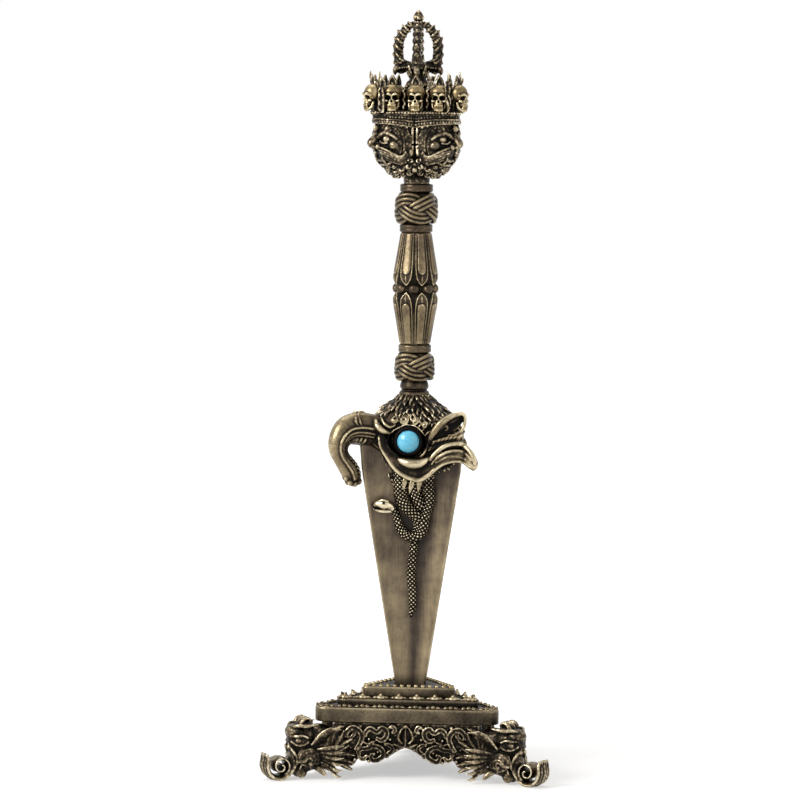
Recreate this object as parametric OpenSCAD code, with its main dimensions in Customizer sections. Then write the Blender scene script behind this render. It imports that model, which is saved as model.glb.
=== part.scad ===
/* [Stand] */
// Height of the deck's underside above the floor
deck_z = 18.5; // [16:0.5:22]
// Lower tier, from the axis to a flat side
lower_tier_a = 19; // [17:0.5:22]
// Lower tier thickness
lower_tier_t = 4.8; // [3.5:0.1:7]
// Lower tier corner radius
lower_corner_r = 4; // [3:0.5:6]
// Middle tier, from the axis to a flat side
middle_tier_a = 14.4; // [13:0.2:15]
// Middle tier thickness
middle_tier_t = 2.2; // [1.8:0.1:4]
// Middle tier corner radius
middle_corner_r = 2.5; // [2:0.5:4]
// Upper tier, from the axis to a flat side
upper_tier_a = 9.4; // [8.6:0.2:10]
// Upper tier thickness
upper_tier_t = 3.5; // [3:0.1:6]
// Upper tier corner radius
upper_corner_r = 1.5; // [1.2:0.1:3]
// Pearl radius on the upper tier
pearl_r = 0.7; // [0.5:0.1:0.9]
// Distance between pearls
pearl_pitch = 2.2; // [2:0.1:3]
// Radius of a lotus bud on the middle tier
bud_r = 1.3; // [1:0.1:1.6]
// Distance between lotus buds
bud_pitch = 5.8; // [4:0.2:8]
// Radius of a bead on the lower tier
bead_r = 0.8; // [0.6:0.1:1]
// Distance between beads on the lower tier
bead_pitch = 4.2; // [3:0.2:6]
// Distance from the axis to the outer end of a foot
foot_reach = 53; // [48:0.5:54]
// Radius of the scroll that each foot stands on
foot_scroll_r = 4.7; // [4:0.1:5.5]
// Width of a foot across its scroll
foot_w = 6.4; // [5:0.2:8]
// Thickness of the rolled foot
foot_t = 2.4; // [2:0.1:2.6]
// Depth of the flat ground under each foot
foot_flat = 0.25; // [0.15:0.05:0.4]
// Thickness of a side apron
apron_t = 3; // [2:0.2:4]
// Half length of a side apron
apron_half = 24; // [22:0.5:26]
// Height of the crown of the apron's arch above the floor
arch_z = 9.2; // [7:0.2:11]

/* [Blade] */
// Height of the blade's point above the floor
tip_z = 8; // [6:0.5:10]
// Length from the point to the animal's mouth
blade_l = 92; // [88:1:110]
// Distance from the axis to a cutting edge at the mouth
blade_mouth_r = 18.4; // [17:0.2:19]
// Distance from the axis to a cutting edge where the blade leaves the stand
blade_seat_r = 5.5; // [5:0.1:6]
// Flat along each cutting edge
edge_t = 1.1; // [0.8:0.1:1.6]
// Depth of a hollow face as a share of a flat one
face_hollow = 0.74; // [0.65:0.01:0.95]
// Gap between the blade and its seat in the stand
seat_gap = 0.3; // [0.2:0.05:0.4]

/* [Makara head] */
// Height of the animal head from its mouth to the collar
head_h = 24; // [22:0.5:28]
// Distance from the axis to the cheeks
cheek_a = 11.8; // [11.4:0.1:13]
// Distance from the axis to the head's corners
head_corner_r = 20.5; // [20:0.1:22]
// Reach of the trunk from the axis
trunk_reach = 30.6; // [29:0.2:33]
// Radius of a turquoise eye
stone_r = 4; // [3:0.25:4.5]
// Height of an eye above the mouth
eye_up = 10; // [9:0.5:11]

/* [Grip] */
// Radius of the tie rod
rod_r = 1.5; // [1.25:0.25:1.75]
// Running gap around the tie rod
rod_gap = 0.1; // [0.05:0.05:0.2]
// Collar height
collar_h = 4.9; // [4:0.1:7]
// Collar radius
collar_r = 4.7; // [4.4:0.1:5.2]
// Lower knot height
lower_knot_h = 9.3; // [8:0.1:12]
// Lower knot radius
lower_knot_r = 6.5; // [6:0.1:7.2]
// Upper knot height
upper_knot_h = 10.4; // [8:0.1:12]
// Upper knot radius
upper_knot_r = 7; // [6:0.1:7.5]
// Height of a plain ring
ring_h = 2.7; // [2:0.1:4]
// Radius of a plain ring
ring_r = 5.4; // [5:0.1:6]
// Length of the lotus grip
grip_l = 36.6; // [32:0.2:44]
// Radius of the lotus grip at its ends
grip_end_r = 4.9; // [4.6:0.1:5]
// Radius of the lotus grip at the petal tips
grip_mid_r = 7.5; // [6.8:0.1:8]

/* [Faces and crown] */
// Neck height
neck_h = 3.4; // [2.5:0.1:5]
// Neck radius
neck_r = 4.2; // [3.8:0.1:4.8]
// Height of the three faces
faces_h = 19.4; // [18:0.2:24]
// Distance from the axis to the seam between two faces
seam_a = 9.4; // [9:0.1:10]
// Distance from the axis to a cheekbone
face_r = 14.6; // [14:0.1:15.5]
// Reach of a nose beyond the cheekbones
nose_out = 2.4; // [1.5:0.1:3]
// Height of the crown's band
band_h = 3.4; // [3:0.1:5]
// Wall of the crown's band
band_wall = 2; // [1.6:0.1:2.4]
// Distance from the axis to a skull at a corner
skull_corner_r = 17.6; // [17:0.1:18.5]
// Skull height
skull_h = 8.2; // [7:0.1:9]
// Skull width
skull_w = 5.3; // [4.6:0.1:5.6]
// Height of the jewel leaf above a skull
leaf_h = 4; // [2.5:0.1:5]

/* [Vajra] */
// Height of the half vajra above the three faces
vajra_h = 37.2; // [34:0.2:44]
// Distance from the axis to the outside of a prong
prong_reach = 7.9; // [7:0.1:9]
// Height of the cage of prongs
cage_h = 16.5; // [14:0.2:20]
// Stem radius
stem_r = 2.6; // [2.4:0.1:3]
// Jewel radius
jewel_r = 1.8; // [1.5:0.1:2.2]

/* [Hidden] */

$fn = 32;
// Clearance between two castings that are soldered or clamped together
fit = 0.05;
// The corners of blade, deck and faces, and the flat sides between them
corners = [90, 210, 330];
sides = [270, 30, 150];
// The animal looks towards this corner, and its two eyes lie either side
trunk_corner = 210;

middle_z = deck_z + lower_tier_t;
upper_z = middle_z + middle_tier_t;
deck_top = upper_z + upper_tier_t;
mouth_z = tip_z + blade_l;
collar_z = mouth_z + head_h;
lower_knot_z = collar_z + collar_h;
lower_ring_z = lower_knot_z + lower_knot_h;
grip_z = lower_ring_z + ring_h;
upper_ring_z = grip_z + grip_l;
upper_knot_z = upper_ring_z + ring_h;
neck_ring_z = upper_knot_z + upper_knot_h;
neck_z = neck_ring_z + ring_h;
faces_z = neck_z + neck_h;
faces_top = faces_z + faces_h;
band_z = faces_top - band_h;
skull_z = faces_top + 0.6;
vajra_top = faces_top + vajra_h - 3.2;
cage_z = vajra_top - jewel_r - 2.2 - cage_h;
rod_bottom = mouth_z + 3;
rod_top = faces_top + 8;
eye_z = mouth_z + eye_up;
eye_shift = -0.8;

foot_screw_r = 1.2;
foot_screw_x = 27;
foot_screw_seat = 10;
tier_screw_r = 1.1;
tier_screw_x = 11;
screw_gap = 0.08;

// Vector helpers
function unit(v) = v / norm(v);
function polar(r, a, z = 0) = [r * cos(a), r * sin(a), z];
function mix(a, b, s) = a + (b - a) * s;

// A smooth curve through a few chosen points, n steps to a span
function catmull(a, b, c, d, s) =
    0.5 * (2 * b + (c - a) * s + (2 * a - 5 * b + 4 * c - d) * s * s
    + (3 * b - a - 3 * c + d) * s * s * s);
function curve(p, n) = let (last = len(p) - 1) concat(
    [for (i = [0:last - 1], k = [0:n - 1])
        catmull(p[max(i - 1, 0)], p[i], p[i + 1], p[min(i + 2, last)], k / n)],
    [p[last]]);

// Normals carried along a path without twist
function tangents(p) = [for (i = [0:len(p) - 1])
    unit(p[min(i + 1, len(p) - 1)] - p[max(i - 1, 0)])];
function flatten_to(n, t) = unit(n - (n * t) * t);
function carried(t, n0) = [
    for (i = 0, n = flatten_to(n0, t[0]); i < len(t);
        i = i + 1, n = i < len(t) ? flatten_to(n, t[i]) : n) n];

// A closed solid through rings that hold the same number of points
module loft(rings) {
    n = len(rings[0]);
    m = len(rings);
    ends = [for (r = [rings[0], rings[m - 1]]) [for (k = [0:2]) [for (p = r) p[k]] * [for (p = r) 1] / n]];
    polyhedron(
        concat([for (r = rings, p = r) p], ends),
        concat(
            [for (i = [0:m - 2], j = [0:n - 1], h = [0, 1]) let (a = i * n + j, b = i * n + (j + 1) % n)
                h == 0 ? [a, a + n, b + n] : [a, b + n, b]],
            [for (j = [0:n - 1]) [n * m, j, (j + 1) % n]],
            [for (j = [0:n - 1]) [n * m + 1, (m - 1) * n + (j + 1) % n, (m - 1) * n + j]]));
}

// A tube along a path: half widths across, half heights along the carried normal
module sweep(path, widths, heights, n0, around = 8) {
    t = tangents(path);
    nn = carried(t, n0);
    loft([for (i = [0:len(path) - 1]) let (b = cross(nn[i], t[i]))
        [for (k = [0:around - 1]) let (a = 360 * (k + 0.5) / around)
            path[i] + widths[i] * cos(a) * b + heights[i] * sin(a) * nn[i]]]);
}

// Castings modelled freely are merged into one skin, at the size they were drawn
module cast() {
    resize([0, 0, 0]) union() children();
}

module ball(at, size, around = 12) {
    translate(at) scale(size) sphere(1, $fn = around);
}

// Radius of a rounded three-sided section with its flat sides at distance a
// A greater p makes its corners sharper
function from_side(th) = abs(((th - 30) % 120 + 120) % 120 - 60);
function side_angle(th) = 60 - from_side(th);
function three_sided(a, rc, th, p = 6) = let (c = cos(side_angle(th)) / a)
    pow(pow(c, p) + pow(1 / rc, p), -1 / p);

// A plate in plan: flat sides at distance a, and round corners of radius rho
module rounded_triangle(a, rho) {
    for (c = corners) translate(polar(2 * (a - rho), c)) circle(rho);
    polygon([for (c = corners, s = [-59.5, 59.5])
        let (p = polar(2 * (a - rho), c) + polar(rho, c + s)) [p.x, p.y]]);
}

// Blade section: two ends of each edge flat, then the hollow face between corners
function blade_edge(r) = min(edge_t, 0.5 * r);
function blade_face(r, grow, side) = let (
        e = blade_edge(r) + 1.2 * grow, rr = r + grow,
        half = 0.866 * rr - 0.25 * e, rim = rr / 2 + 0.433 * e,
        mid = face_hollow * r / 2 + 0.433 * e * face_hollow + grow)
    [for (s = [-1:1/3:1]) let (d = mid + (rim - mid) * s * s, u = half * s)
        [d * cos(side) - u * sin(side), d * sin(side) + u * cos(side)]];
function blade_section(r, grow = 0) = [for (s = [270, 390, 510]) each blade_face(r, grow, s)];
function blade_r(z) = z <= deck_top
    ? blade_seat_r * pow(max(z - tip_z, 0.05) / (deck_top - tip_z), 0.62)
    : mix(blade_seat_r, blade_mouth_r, (z - deck_top) / (mouth_z - deck_top)) - 0.09 * max(z - mouth_z, 0);
function blade_ring(z, r, grow = 0) = [for (p = blade_section(r, grow)) [p.x, p.y, z]];
blade_open_z = mouth_z + 8.2;
blade_top = mouth_z + 12.5;
blade_levels = concat(
    [for (z = [0, 0.4, 1.6, 4, 8, 14]) tip_z + z],
    [deck_top, mix(deck_top, mouth_z, 0.5), mouth_z, blade_open_z]);

// Distance of a blade face from the axis, x to the side of its middle
function face_depth(x, z) = let (r = blade_r(z), e = blade_edge(r),
        half = 0.866 * r - 0.25 * e, mid = face_hollow * (r / 2 + 0.433 * e))
    mid + (r / 2 + 0.433 * e - mid) * pow(min(abs(x) / half, 1), 2);

// What stands on a blade face or a side: x to the right, y outwards, z up
module on_side(side) {
    rotate([0, 0, side + 90]) children();
}
// The other side of the animal, and a copy on both sides
module across() {
    mirror([-sin(trunk_corner), cos(trunk_corner), 0]) children();
}
module both_cheeks() {
    children();
    across() children();
}

// Stand

module border(a, rho, inset, pitch, z) {
    half = 1.732 * (a - rho) - 0.62 * pitch;
    n = floor(2 * half / pitch);
    for (s = sides) on_side(s)
        for (k = [0:n]) translate([-half + 2 * half * k / n, inset - a, z]) children();
    for (c = corners) rotate([0, 0, c]) translate([2 * (a - rho) + rho - inset, 0, z])
        rotate([0, 0, 90]) children();
}

module tier(a, rho, z, t) {
    difference() {
        translate([0, 0, z]) linear_extrude(t) rounded_triangle(a, rho);
        translate([0, 0, z - 1]) linear_extrude(t + 2) polygon(blade_section(blade_r(z + t), seat_gap));
    }
}

module at_tier_screws() {
    for (c = corners) translate(polar(tier_screw_x, c)) children();
}

module at_foot_screws() {
    for (c = corners) translate(polar(foot_screw_x, c)) children();
}

module lower_tier() color("darkgoldenrod") difference() {
    union() {
        tier(lower_tier_a, lower_corner_r, deck_z, lower_tier_t);
        border(lower_tier_a, lower_corner_r, 1.5, bead_pitch, middle_z) sphere(bead_r);
        border(lower_tier_a, lower_corner_r, 1.5, bead_pitch, middle_z - 0.4)
            cube([0.6 * bead_pitch, 0.9, 1.5], center = true);
    }
    at_foot_screws() translate([0, 0, deck_z - 1]) cylinder(r = foot_screw_r + screw_gap, h = 1 + 3.2);
    at_tier_screws() {
        translate([0, 0, deck_z - 1]) cylinder(r = tier_screw_r + screw_gap, h = lower_tier_t + 2);
        translate([0, 0, deck_z - 1]) cylinder(r = 2 * tier_screw_r + screw_gap, h = 1 + 1.6);
    }
}

module middle_tier() color("goldenrod") difference() {
    union() {
        tier(middle_tier_a, middle_corner_r, middle_z, middle_tier_t);
        border(middle_tier_a, middle_corner_r, 1.9, bud_pitch, upper_z) sphere(bud_r);
    }
    at_tier_screws() translate([0, 0, middle_z - 1])
        cylinder(r = tier_screw_r + screw_gap, h = middle_tier_t + 2);
}

module upper_tier() color("darkgoldenrod") difference() {
    union() {
        tier(upper_tier_a, upper_corner_r, upper_z, upper_tier_t);
        border(upper_tier_a, upper_corner_r, 0.9, pearl_pitch, deck_top) sphere(pearl_r);
    }
    at_tier_screws() translate([0, 0, upper_z - 1]) cylinder(r = tier_screw_r + screw_gap, h = 1 + 2.6);
}

// Side apron: a cusped arch, with cloud scrolls raised on its front
cloud_x = [4.6, 10.6, 17];
cloud_r = [3.2, 3.4, 3.4];
cloud_drop = [0.6, 2, 3];
function cloud_z(k) = arch_z + 2.6 - cloud_drop[k];
apron_front_a = lower_tier_a + 0.2;
module apron_outline() {
    difference() {
        translate([-apron_half, arch_z]) square([2 * apron_half, deck_z - fit - arch_z]);
        translate([0, arch_z - 1.2]) circle(2.4);
    }
    for (s = [-1, 1]) {
        for (k = [0:2]) translate([s * cloud_x[k], cloud_z(k)]) circle(cloud_r[k]);
        polygon([for (p = [[14, 9.5], [apron_half, 9.5], [apron_half, 4.6], [18, 2.6], [19, 5]])
            [s * p.x, p.y]]);
    }
}
module apron(side) color("darkgoldenrod") on_side(side) translate([0, -apron_front_a + apron_t, 0])
    rotate([90, 0, 0]) {
        linear_extrude(apron_t) apron_outline();
        for (s = [-1, 1], row = [0, 1], k = [0:2])
            translate([s * (cloud_x[k] - 1.6 * row), cloud_z(k) + 4.6 * row, apron_t - 0.2]) {
                difference() {
                    cylinder(r = 2.3 - 0.4 * row, h = 1.1);
                    translate([0, 0, 0.2]) cylinder(r = 1.3 - 0.3 * row, h = 1);
                }
                cylinder(r = 0.6, h = 1);
            }
        translate([0, arch_z + 4.4, apron_t - 0.2]) cylinder(r = 1.3, h = 1.3);
    }

// Foot: an elephant-headed beast whose trunk rolls up into the scroll it stands on
scroll_x = foot_reach - foot_scroll_r;
scroll_steps = 14;
lead_steps = 6;
roll_ends = scroll_steps + lead_steps;
// The first part of the scroll keeps its full radius down to the ground, then it rolls in
function rolled(i) = max(i - lead_steps - 2, 0) / (scroll_steps - 2);
function scroll_point(k) = let (r = mix(foot_scroll_r - foot_t / 2, 1.1, pow(rolled(k + lead_steps), 1.1)))
    [scroll_x + r * cos(36 * k - 162), 0, foot_scroll_r - foot_flat + r * sin(36 * k - 162)];
foot_roll = concat(
    [for (k = [0:lead_steps - 1])
        mix([33, 0, 12.4], scroll_point(0), k / lead_steps) + [1.2, 0, 0.9] * sin(180 * k / lead_steps)],
    [for (k = [0:scroll_steps]) scroll_point(k)]);
function foot_half_w(i) = mix(mix(4.6, foot_w / 2, min(i / lead_steps, 1)), 1.9, rolled(i));
function foot_half_t(i) =
    mix(mix(4.4, foot_t / 2, pow(min(i / lead_steps, 1), 0.7)), 0.8, rolled(i)) / 0.924;

module foot_form() {
    sweep(foot_roll, [for (i = [0:roll_ends]) foot_half_w(i)],
        [for (i = [0:roll_ends]) foot_half_t(i)], [0.3, 0, 1]);
    ball([31.5, 0, 11.6], [9.6, 6.6, 7.4], 12);
    ball([39.6, 0, 13.4], [3.6, 4.8, 3.2], 8);
    ball([37.2, 0, 3.8], [3.2, 3, 3], 6);
    for (s = [-1, 1]) {
        ball([38.6, s * 3.6, 15.8], [2.3, 2, 2.2], 6);
        translate([33.6, s * 5.4, 8.4]) rotate([90, 0, 10 * s]) {
            cylinder(r = 3.5, h = 2.6, center = true, $fn = 10);
            cylinder(r = 1.8, h = 4, center = true, $fn = 8);
        }
        // leaf of the mane, swept back towards the apron
        hull() {
            ball([29, s * 6.4, 13.5], [2.4, 1.6, 2.6], 6);
            ball([24.4, s * 10.2, 15.2], [0.9, 0.9, 1.2], 4);
        }
        hull() {
            ball([29, s * 6, 7], [2.2, 1.6, 2.2], 6);
            ball([26.4, s * 9.4, 2.6], [0.8, 0.8, 0.8], 4);
        }
    }
    hull() {
        ball([36, 0, 17.4], [2.4, 2.6, 2.2], 6);
        ball([33, 0, 17.4], [2.4, 3.6, 2.4], 6);
    }
}

module foot(corner) color("goldenrod") difference() {
    rotate([0, 0, corner]) cast() foot_form();
    translate([0, 0, deck_z - fit]) linear_extrude(lower_tier_t)
        rounded_triangle(lower_tier_a + fit, lower_corner_r + fit);
    for (s = sides) on_side(s) translate([-apron_half - fit, -apron_front_a - 1.2 - fit, -1])
        cube([2 * (apron_half + fit), apron_t + 1.2 + 2 * fit, deck_z + 1]);
    translate([0, 0, -10]) linear_extrude(10) circle(80);
    translate(polar(foot_screw_x, corner)) {
        translate([0, 0, -1]) cylinder(r = foot_screw_r + screw_gap, h = deck_z + 2);
        translate([0, 0, -1]) cylinder(r = 2 * foot_screw_r + 2 * screw_gap, h = 1 + foot_screw_seat);
    }
}

module foot_screws() color("dimgray") at_foot_screws() {
    translate([0, 0, foot_screw_seat - fit - 2]) difference() {
        cylinder(r = 2 * foot_screw_r, h = 2);
        translate([0, 0, -1]) cylinder(r = 0.8 * foot_screw_r, h = 2, $fn = 6);
    }
    translate([0, 0, foot_screw_seat - fit - 0.5])
        cylinder(r = foot_screw_r, h = deck_z + 3 - foot_screw_seat);
}

module tier_screws() color("dimgray") at_tier_screws() {
    translate([0, 0, deck_z + fit]) cylinder(r = 2 * tier_screw_r, h = 1.5);
    translate([0, 0, deck_z + fit]) cylinder(r = tier_screw_r, h = upper_z + 2.4 - deck_z);
}

// Blade

module blade() color("darkkhaki") difference() {
    loft(concat(
        [for (z = blade_levels) blade_ring(z, blade_r(z))],
        [blade_ring(blade_open_z + 1, 16.5), blade_ring(blade_top, 9)]));
    translate([0, 0, rod_bottom]) cylinder(r = rod_r + rod_gap, h = blade_top);
}

module blade_room() {
    loft(concat(
        [blade_ring(mouth_z - 12, blade_r(mouth_z - 12), fit)],
        [blade_ring(blade_open_z + fit, blade_r(blade_open_z), fit)],
        [blade_ring(blade_open_z + 1 + fit, 16.5, 2 * fit), blade_ring(blade_top + fit, 9, 2 * fit)]));
}

// Animal head: core, trunk, lips, ears and mane

// The head's lower edge: degrees away from the trunk, height above the mouth
head_edge = [[0, 9.4], [15, 8.6], [24, 5.6], [34, 1.9], [48, 0], [62, -1.2],
    [86, 0.2], [100, 3], [110, 3.8], [120, 3.6], [150, 1.2], [180, 0.6]];
function edge_up(a) = lookup(180 - abs((a - trunk_corner + 360) % 360 - 180), head_edge);
// Height above the mouth, distance to the sides and to the corners, share of the lower edge's wave
head_levels = [
    [0, cheek_a - 0.8, head_corner_r, 1], [3, cheek_a - 0.2, head_corner_r + 0.4, 0.8],
    [8, cheek_a, head_corner_r, 0.3], [13, cheek_a - 0.4, head_corner_r - 2.6, 0],
    [17, cheek_a - 1.2, head_corner_r - 6, 0], [20.4, 8.2, 10.5, 0], [22.6, 5.6, 6, 0], [24, 4.9, 4.9, 0]
];
core_angles = [for (c = corners, d = [-60, -42, -26, -14, -5, 0, 5, 14, 26, 42]) c + d];
module head_core() {
    loft([for (l = head_levels) [for (a = core_angles)
        polar(three_sided(l[1], l[2], a, 12), a, mouth_z + head_h / 24 * (l[0] + l[3] * edge_up(a)))]]);
}

// Radius and height above the mouth of the trunk's middle line, with its half thickness and half width
trunk_line = [
    [14, 10.5, 6, 4.6], [18.4, 13.2, 5.2, 4], [23, 14.2, 4.6, 3.4], [trunk_reach - 3.9, 11.4, 3.8, 3],
    [trunk_reach - 2.9, 7, 2.9, 2.8], [trunk_reach - 4.6, 2.6, 2.7, 2.6],
    [trunk_reach - 6.8, -0.6, 2.8, 2.5], [trunk_reach - 7.8, -3.6, 2.2, 2.3]
];
trunk_curve = curve(trunk_line, 2);
module trunk() rotate([0, 0, trunk_corner]) sweep(
    [for (p = trunk_curve) [p[0], 0, mouth_z + p[1]]], [for (p = trunk_curve) p[3]],
    [for (p = trunk_curve) p[2]], [0, 0, 1], 8);

// The lip runs round the mouth and ends in a beak over the next edge
// x, distance out, height above the mouth, half thickness
lip_line = [
    [-11.6, 11.6, 11.4, 0.8], [-9.4, 11.7, 6.8, 1.2], [-5.6, 11.5, 1.9, 1.4], [0.4, 11.2, -1.7, 1.4],
    [5.6, 11.4, 0, 1.4], [9.6, 11.8, 3.2, 1.7], [14, 12.1, 4.6, 2.2], [18.4, 11.8, 3.4, 2],
    [20.6, 11.9, 0.6, 0.9]
];
lip_curve = curve(lip_line, 1);
module lip() on_side(270) sweep(
    [for (p = lip_curve) [p[0], -p[1], mouth_z + p[2]]], [for (p = lip_curve) p[3]],
    [for (p = lip_curve) p[3] * 1.15], [0, 0, 1], 6);

module brow() on_side(270) sweep(
    [for (p = curve([[-10.4, -11.6, 14.4], [-4, -12.4, 17], [3.4, -12, 15.6], [7.6, -11.8, 11.2]], 2))
        p + [0, 0, mouth_z - 0.6]],
    [for (i = [0:6]) 0.5 + 0.7 * sin(30 * i)], [for (i = [0:6]) 0.5 + 0.6 * sin(30 * i)], [0, 0, 1], 6);

// Ear: a pointed cup behind the eye
ear_line = [[6.6, -10.6, 10], [9.6, -12, 12.4], [13.4, -12.2, 16], [17.6, -10.6, 19.6]];
module ear() on_side(270) {
    path = [for (p = curve(ear_line, 2)) p + [0, 0, mouth_z]];
    sweep(path, [for (i = [0:6]) 1 + 2.1 * sin(30 * i)], [for (i = [0:6]) 0.5 + 1.1 * sin(30 * i)],
        [0.3, -1, 0.2], 6);
}

// Locks of the mane, falling from the collar to the brow
mane_locks = 12;
module mane() {
    for (k = [0:mane_locks - 1]) {
        a = trunk_corner + 360 * (k + 0.5) / mane_locks;
        reach = three_sided(cheek_a - 1.4, head_corner_r - 4, a);
        sweep(
            [for (p = [[4.6, 23.2], [7, 21.4], [0.74 * reach + 0.6, 19], [reach + 0.5, 15 + (k % 2)]])
                polar(p[0], a + (p[0] > 7.5 ? 3 : 0), mouth_z + head_h * p[1] / 24)],
            [0.9, 1.2, 1.6, 0.4], [0.6, 0.9, 1, 0.3], [0, 0, 1], 4);
    }
}

eye_seat = cheek_a - 1.2;
module at_eye() on_side(270) translate([eye_shift, -eye_seat, eye_z]) rotate([90, 0, 0]) children();

module makara_head() color("goldenrod") difference() {
    cast() difference() {
        union() {
            head_core();
            trunk();
            mane();
            both_cheeks() {
                lip();
                brow();
                ear();
            }
        }
        blade_room();
        both_cheeks() at_eye() cylinder(r = stone_r + 1.2 + 2 * fit, h = 12, $fn = 24);
    }
    translate([0, 0, mouth_z]) cylinder(r = rod_r + rod_gap, h = head_h + 2);
    translate([0, 0, collar_z]) cylinder(r = 9, h = 5);
}

// The dome of an eye rises from a straight rim, and the bezel's lip holds it there
stone_rim = 1.6;
stone_dome = 2.2;
dome_r = (pow(stone_r, 2) + pow(stone_dome, 2)) / (2 * stone_dome);
function dome_z(x) = stone_rim + stone_dome - dome_r + sqrt(pow(dome_r, 2) - pow(x, 2));
lip_r = stone_r - 0.4;
module eye_bezel() at_eye() color("saddlebrown") translate([0, 0, fit]) rotate_extrude()
    polygon([[stone_r + fit, 0], [stone_r + 1.2, 0], [stone_r + 1.2, stone_rim + 0.1],
        [stone_r + 0.7, dome_z(lip_r) + 0.3], [lip_r, dome_z(lip_r) + 0.3], [lip_r, dome_z(lip_r) + fit],
        [stone_r + fit, stone_rim + fit]]);

module eye_stone() at_eye() color("deepskyblue") translate([0, 0, fit]) intersection() {
    cylinder(r = stone_r, h = 2 * stone_r);
    translate([0, 0, stone_rim + stone_dome - dome_r]) sphere(dome_r);
}

// Snake: it leaves the mouth at two places, ties itself once and lets its tail hang
// x, height above the mouth, radius
tail_line = [[-5, 2, 1.7], [-5.2, -8, 1.8], [-3.4, -13, 1.8], [0.3, -17, 1.7], [0.7, -22, 1.6],
    [-0.2, -28, 1.5], [0.2, -35, 1.3], [-0.8, -42, 1.1], [-0.6, -48.6, 0.5]];
neck_line = [[4.6, 1, 1.7], [5.1, -9, 1.8], [3.4, -15.6, 1.8], [2.8, -20.8, 1.8], [-0.6, -23.6, 1.7],
    [-4.6, -20.8, 1.6], [-6.4, -16.6, 1.5], [-8.6, -13.6, 1.2]];
function on_face(p, lift) = [p[0], -face_depth(p[0], mouth_z + p[1]) - lift * p[2], mouth_z + p[1]];
module snake_length(line, lift) {
    c = curve(line, 2);
    sweep([for (p = c) on_face(p, lift)], [for (p = c) p[2]], [for (p = c) p[2]], [0, -1, 0], 5);
}
// The room that the lip takes above the snake
module above_lip() rotate([90, 0, 0]) linear_extrude(40) polygon(concat([[-40, 20 + mouth_z]],
    [for (p = lip_curve) [p[0], mouth_z + p[2] - 1.25 * p[3] - fit]], [[40, mouth_z]], [[40, 20 + mouth_z]]));
module snake(side) color("darkgoldenrod") cast() on_side(side) difference() {
    union() {
        snake_length(tail_line, 0.35);
        snake_length(neck_line, 0.5);
        hull() {
            ball(on_face([-8.6, -13.4, 1.4], 0.5), [1.5, 1.2, 1.4], 8);
            ball(on_face([-10.6, -12.6, 1.4], 0.6), [1.5, 1.2, 1.5], 8);
            ball(on_face([-13.2, -13.2, 1.4], 0.2), [0.5, 0.7, 0.6], 6);
        }
    }
    loft([for (z = blade_levels) if (z >= deck_top) blade_ring(z, blade_r(z), fit)]);
    above_lip();
}

// Rod and turned pieces of the grip

module tie_rod() color("silver") translate([0, 0, rod_bottom]) {
    cylinder(r = rod_r, h = rod_top - rod_bottom - 0.5);
}

module bored(z, h) {
    difference() {
        children();
        translate([0, 0, z - 1]) cylinder(r = rod_r + rod_gap, h = h + 2);
    }
}

module turned(z, h, profile) {
    bored(z, h) translate([0, 0, z]) rotate_extrude() polygon(concat([[0, 0]], profile, [[0, h]]));
}

module collar() color("peru") turned(collar_z, collar_h, [
    [collar_r + 0.2, 0], [collar_r + 0.2, 0.3 * collar_h], [collar_r - 0.4, 0.38 * collar_h],
    [collar_r - 0.4, 0.46 * collar_h], [collar_r, 0.54 * collar_h], [collar_r - 0.3, collar_h]]);

module ring(z) color("tan") turned(z, ring_h, [
    [ring_r - 0.7, 0], [ring_r - 0.15, 0.14 * ring_h], [ring_r, 0.5 * ring_h],
    [ring_r - 0.15, 0.86 * ring_h], [ring_r - 0.7, ring_h]]);

// Knot: a barrel wrapped in flat cords that slant both ways, each over one and under the next
knot_bights = 4;
knot_around = 24;
knot_rings = 10;
cord_rise = 0.9;
function cord(x) = sqrt(abs(cos(x)));
function cords(s, th) = let (
        slant = 150 * (s - 0.5), u = knot_bights * th / 2 + slant, v = knot_bights * th / 2 - slant)
    (sin(u + v) * cos(1.2 * slant) > 0 ? cord(u) : cord(v)) - 1;
function knot_r(r, s, th) = let (x = 2 * s - 1)
    mix(ring_r - 0.8, r, sqrt(1 - pow(abs(x), 2.4)))
    + cord_rise * cords(s, th) * min(1, 3.2 * (1 - abs(x)));
module knot(z, r, h) color("sienna") bored(z, h) loft([for (i = [0:knot_rings]) let (s = i / knot_rings)
    [for (k = [0:knot_around - 1]) let (a = 360 * k / knot_around) polar(knot_r(r, s, a), a, z + h * s)]]);

// Lotus grip: eight petals open downwards and eight upwards, with pearls between their tips
petals = 8;
pearl_out = 1.3;
grip_around = 32;
function petal_wave(th) = abs(cos(petals / 2 * th));
function grip_r(s, th) = let (
        up = s < 0.5 ? s / 0.5 : (1 - s) / 0.5,
        flare = mix(grip_end_r, grip_mid_r - 0.7, pow(sin(90 * min(up / 0.9, 1)), 1.3)),
        rib = 0.55 * pow(petal_wave(th), 0.5) - 0.45,
        panel = up < 0.72 ? -0.3 * pow(petal_wave(th), 6) : 0.5 * petal_wave(th),
        pearl = pearl_out - (pearl_out + 1.5) * petal_wave(th),
        waist = up > 0.9 ? pearl * (up - 0.9) / 0.1 - 0.6 : 0)
    flare + (rib + panel) * min(1, 0.3 + 1.6 * up) + waist;
grip_steps = [0, 0.12, 0.25, 0.34, 0.38, 0.43, 0.46, 0.5, 0.54, 0.57, 0.62, 0.66, 0.75, 0.88, 1];
module lotus_grip() color("darkkhaki") bored(grip_z, grip_l) loft([for (s = grip_steps)
    [for (k = [0:grip_around - 1]) let (a = 360 * k / grip_around)
        polar(grip_r(s, a), a, grip_z + grip_l * s)]]);

// Three faces look out over the blade's edges, with brow, nose, cheeks, lips and chin in relief

function bump(x, c, w) = exp(-pow((x - c) / w, 2));
function off_nose(th) = 60 - side_angle(th);
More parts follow.
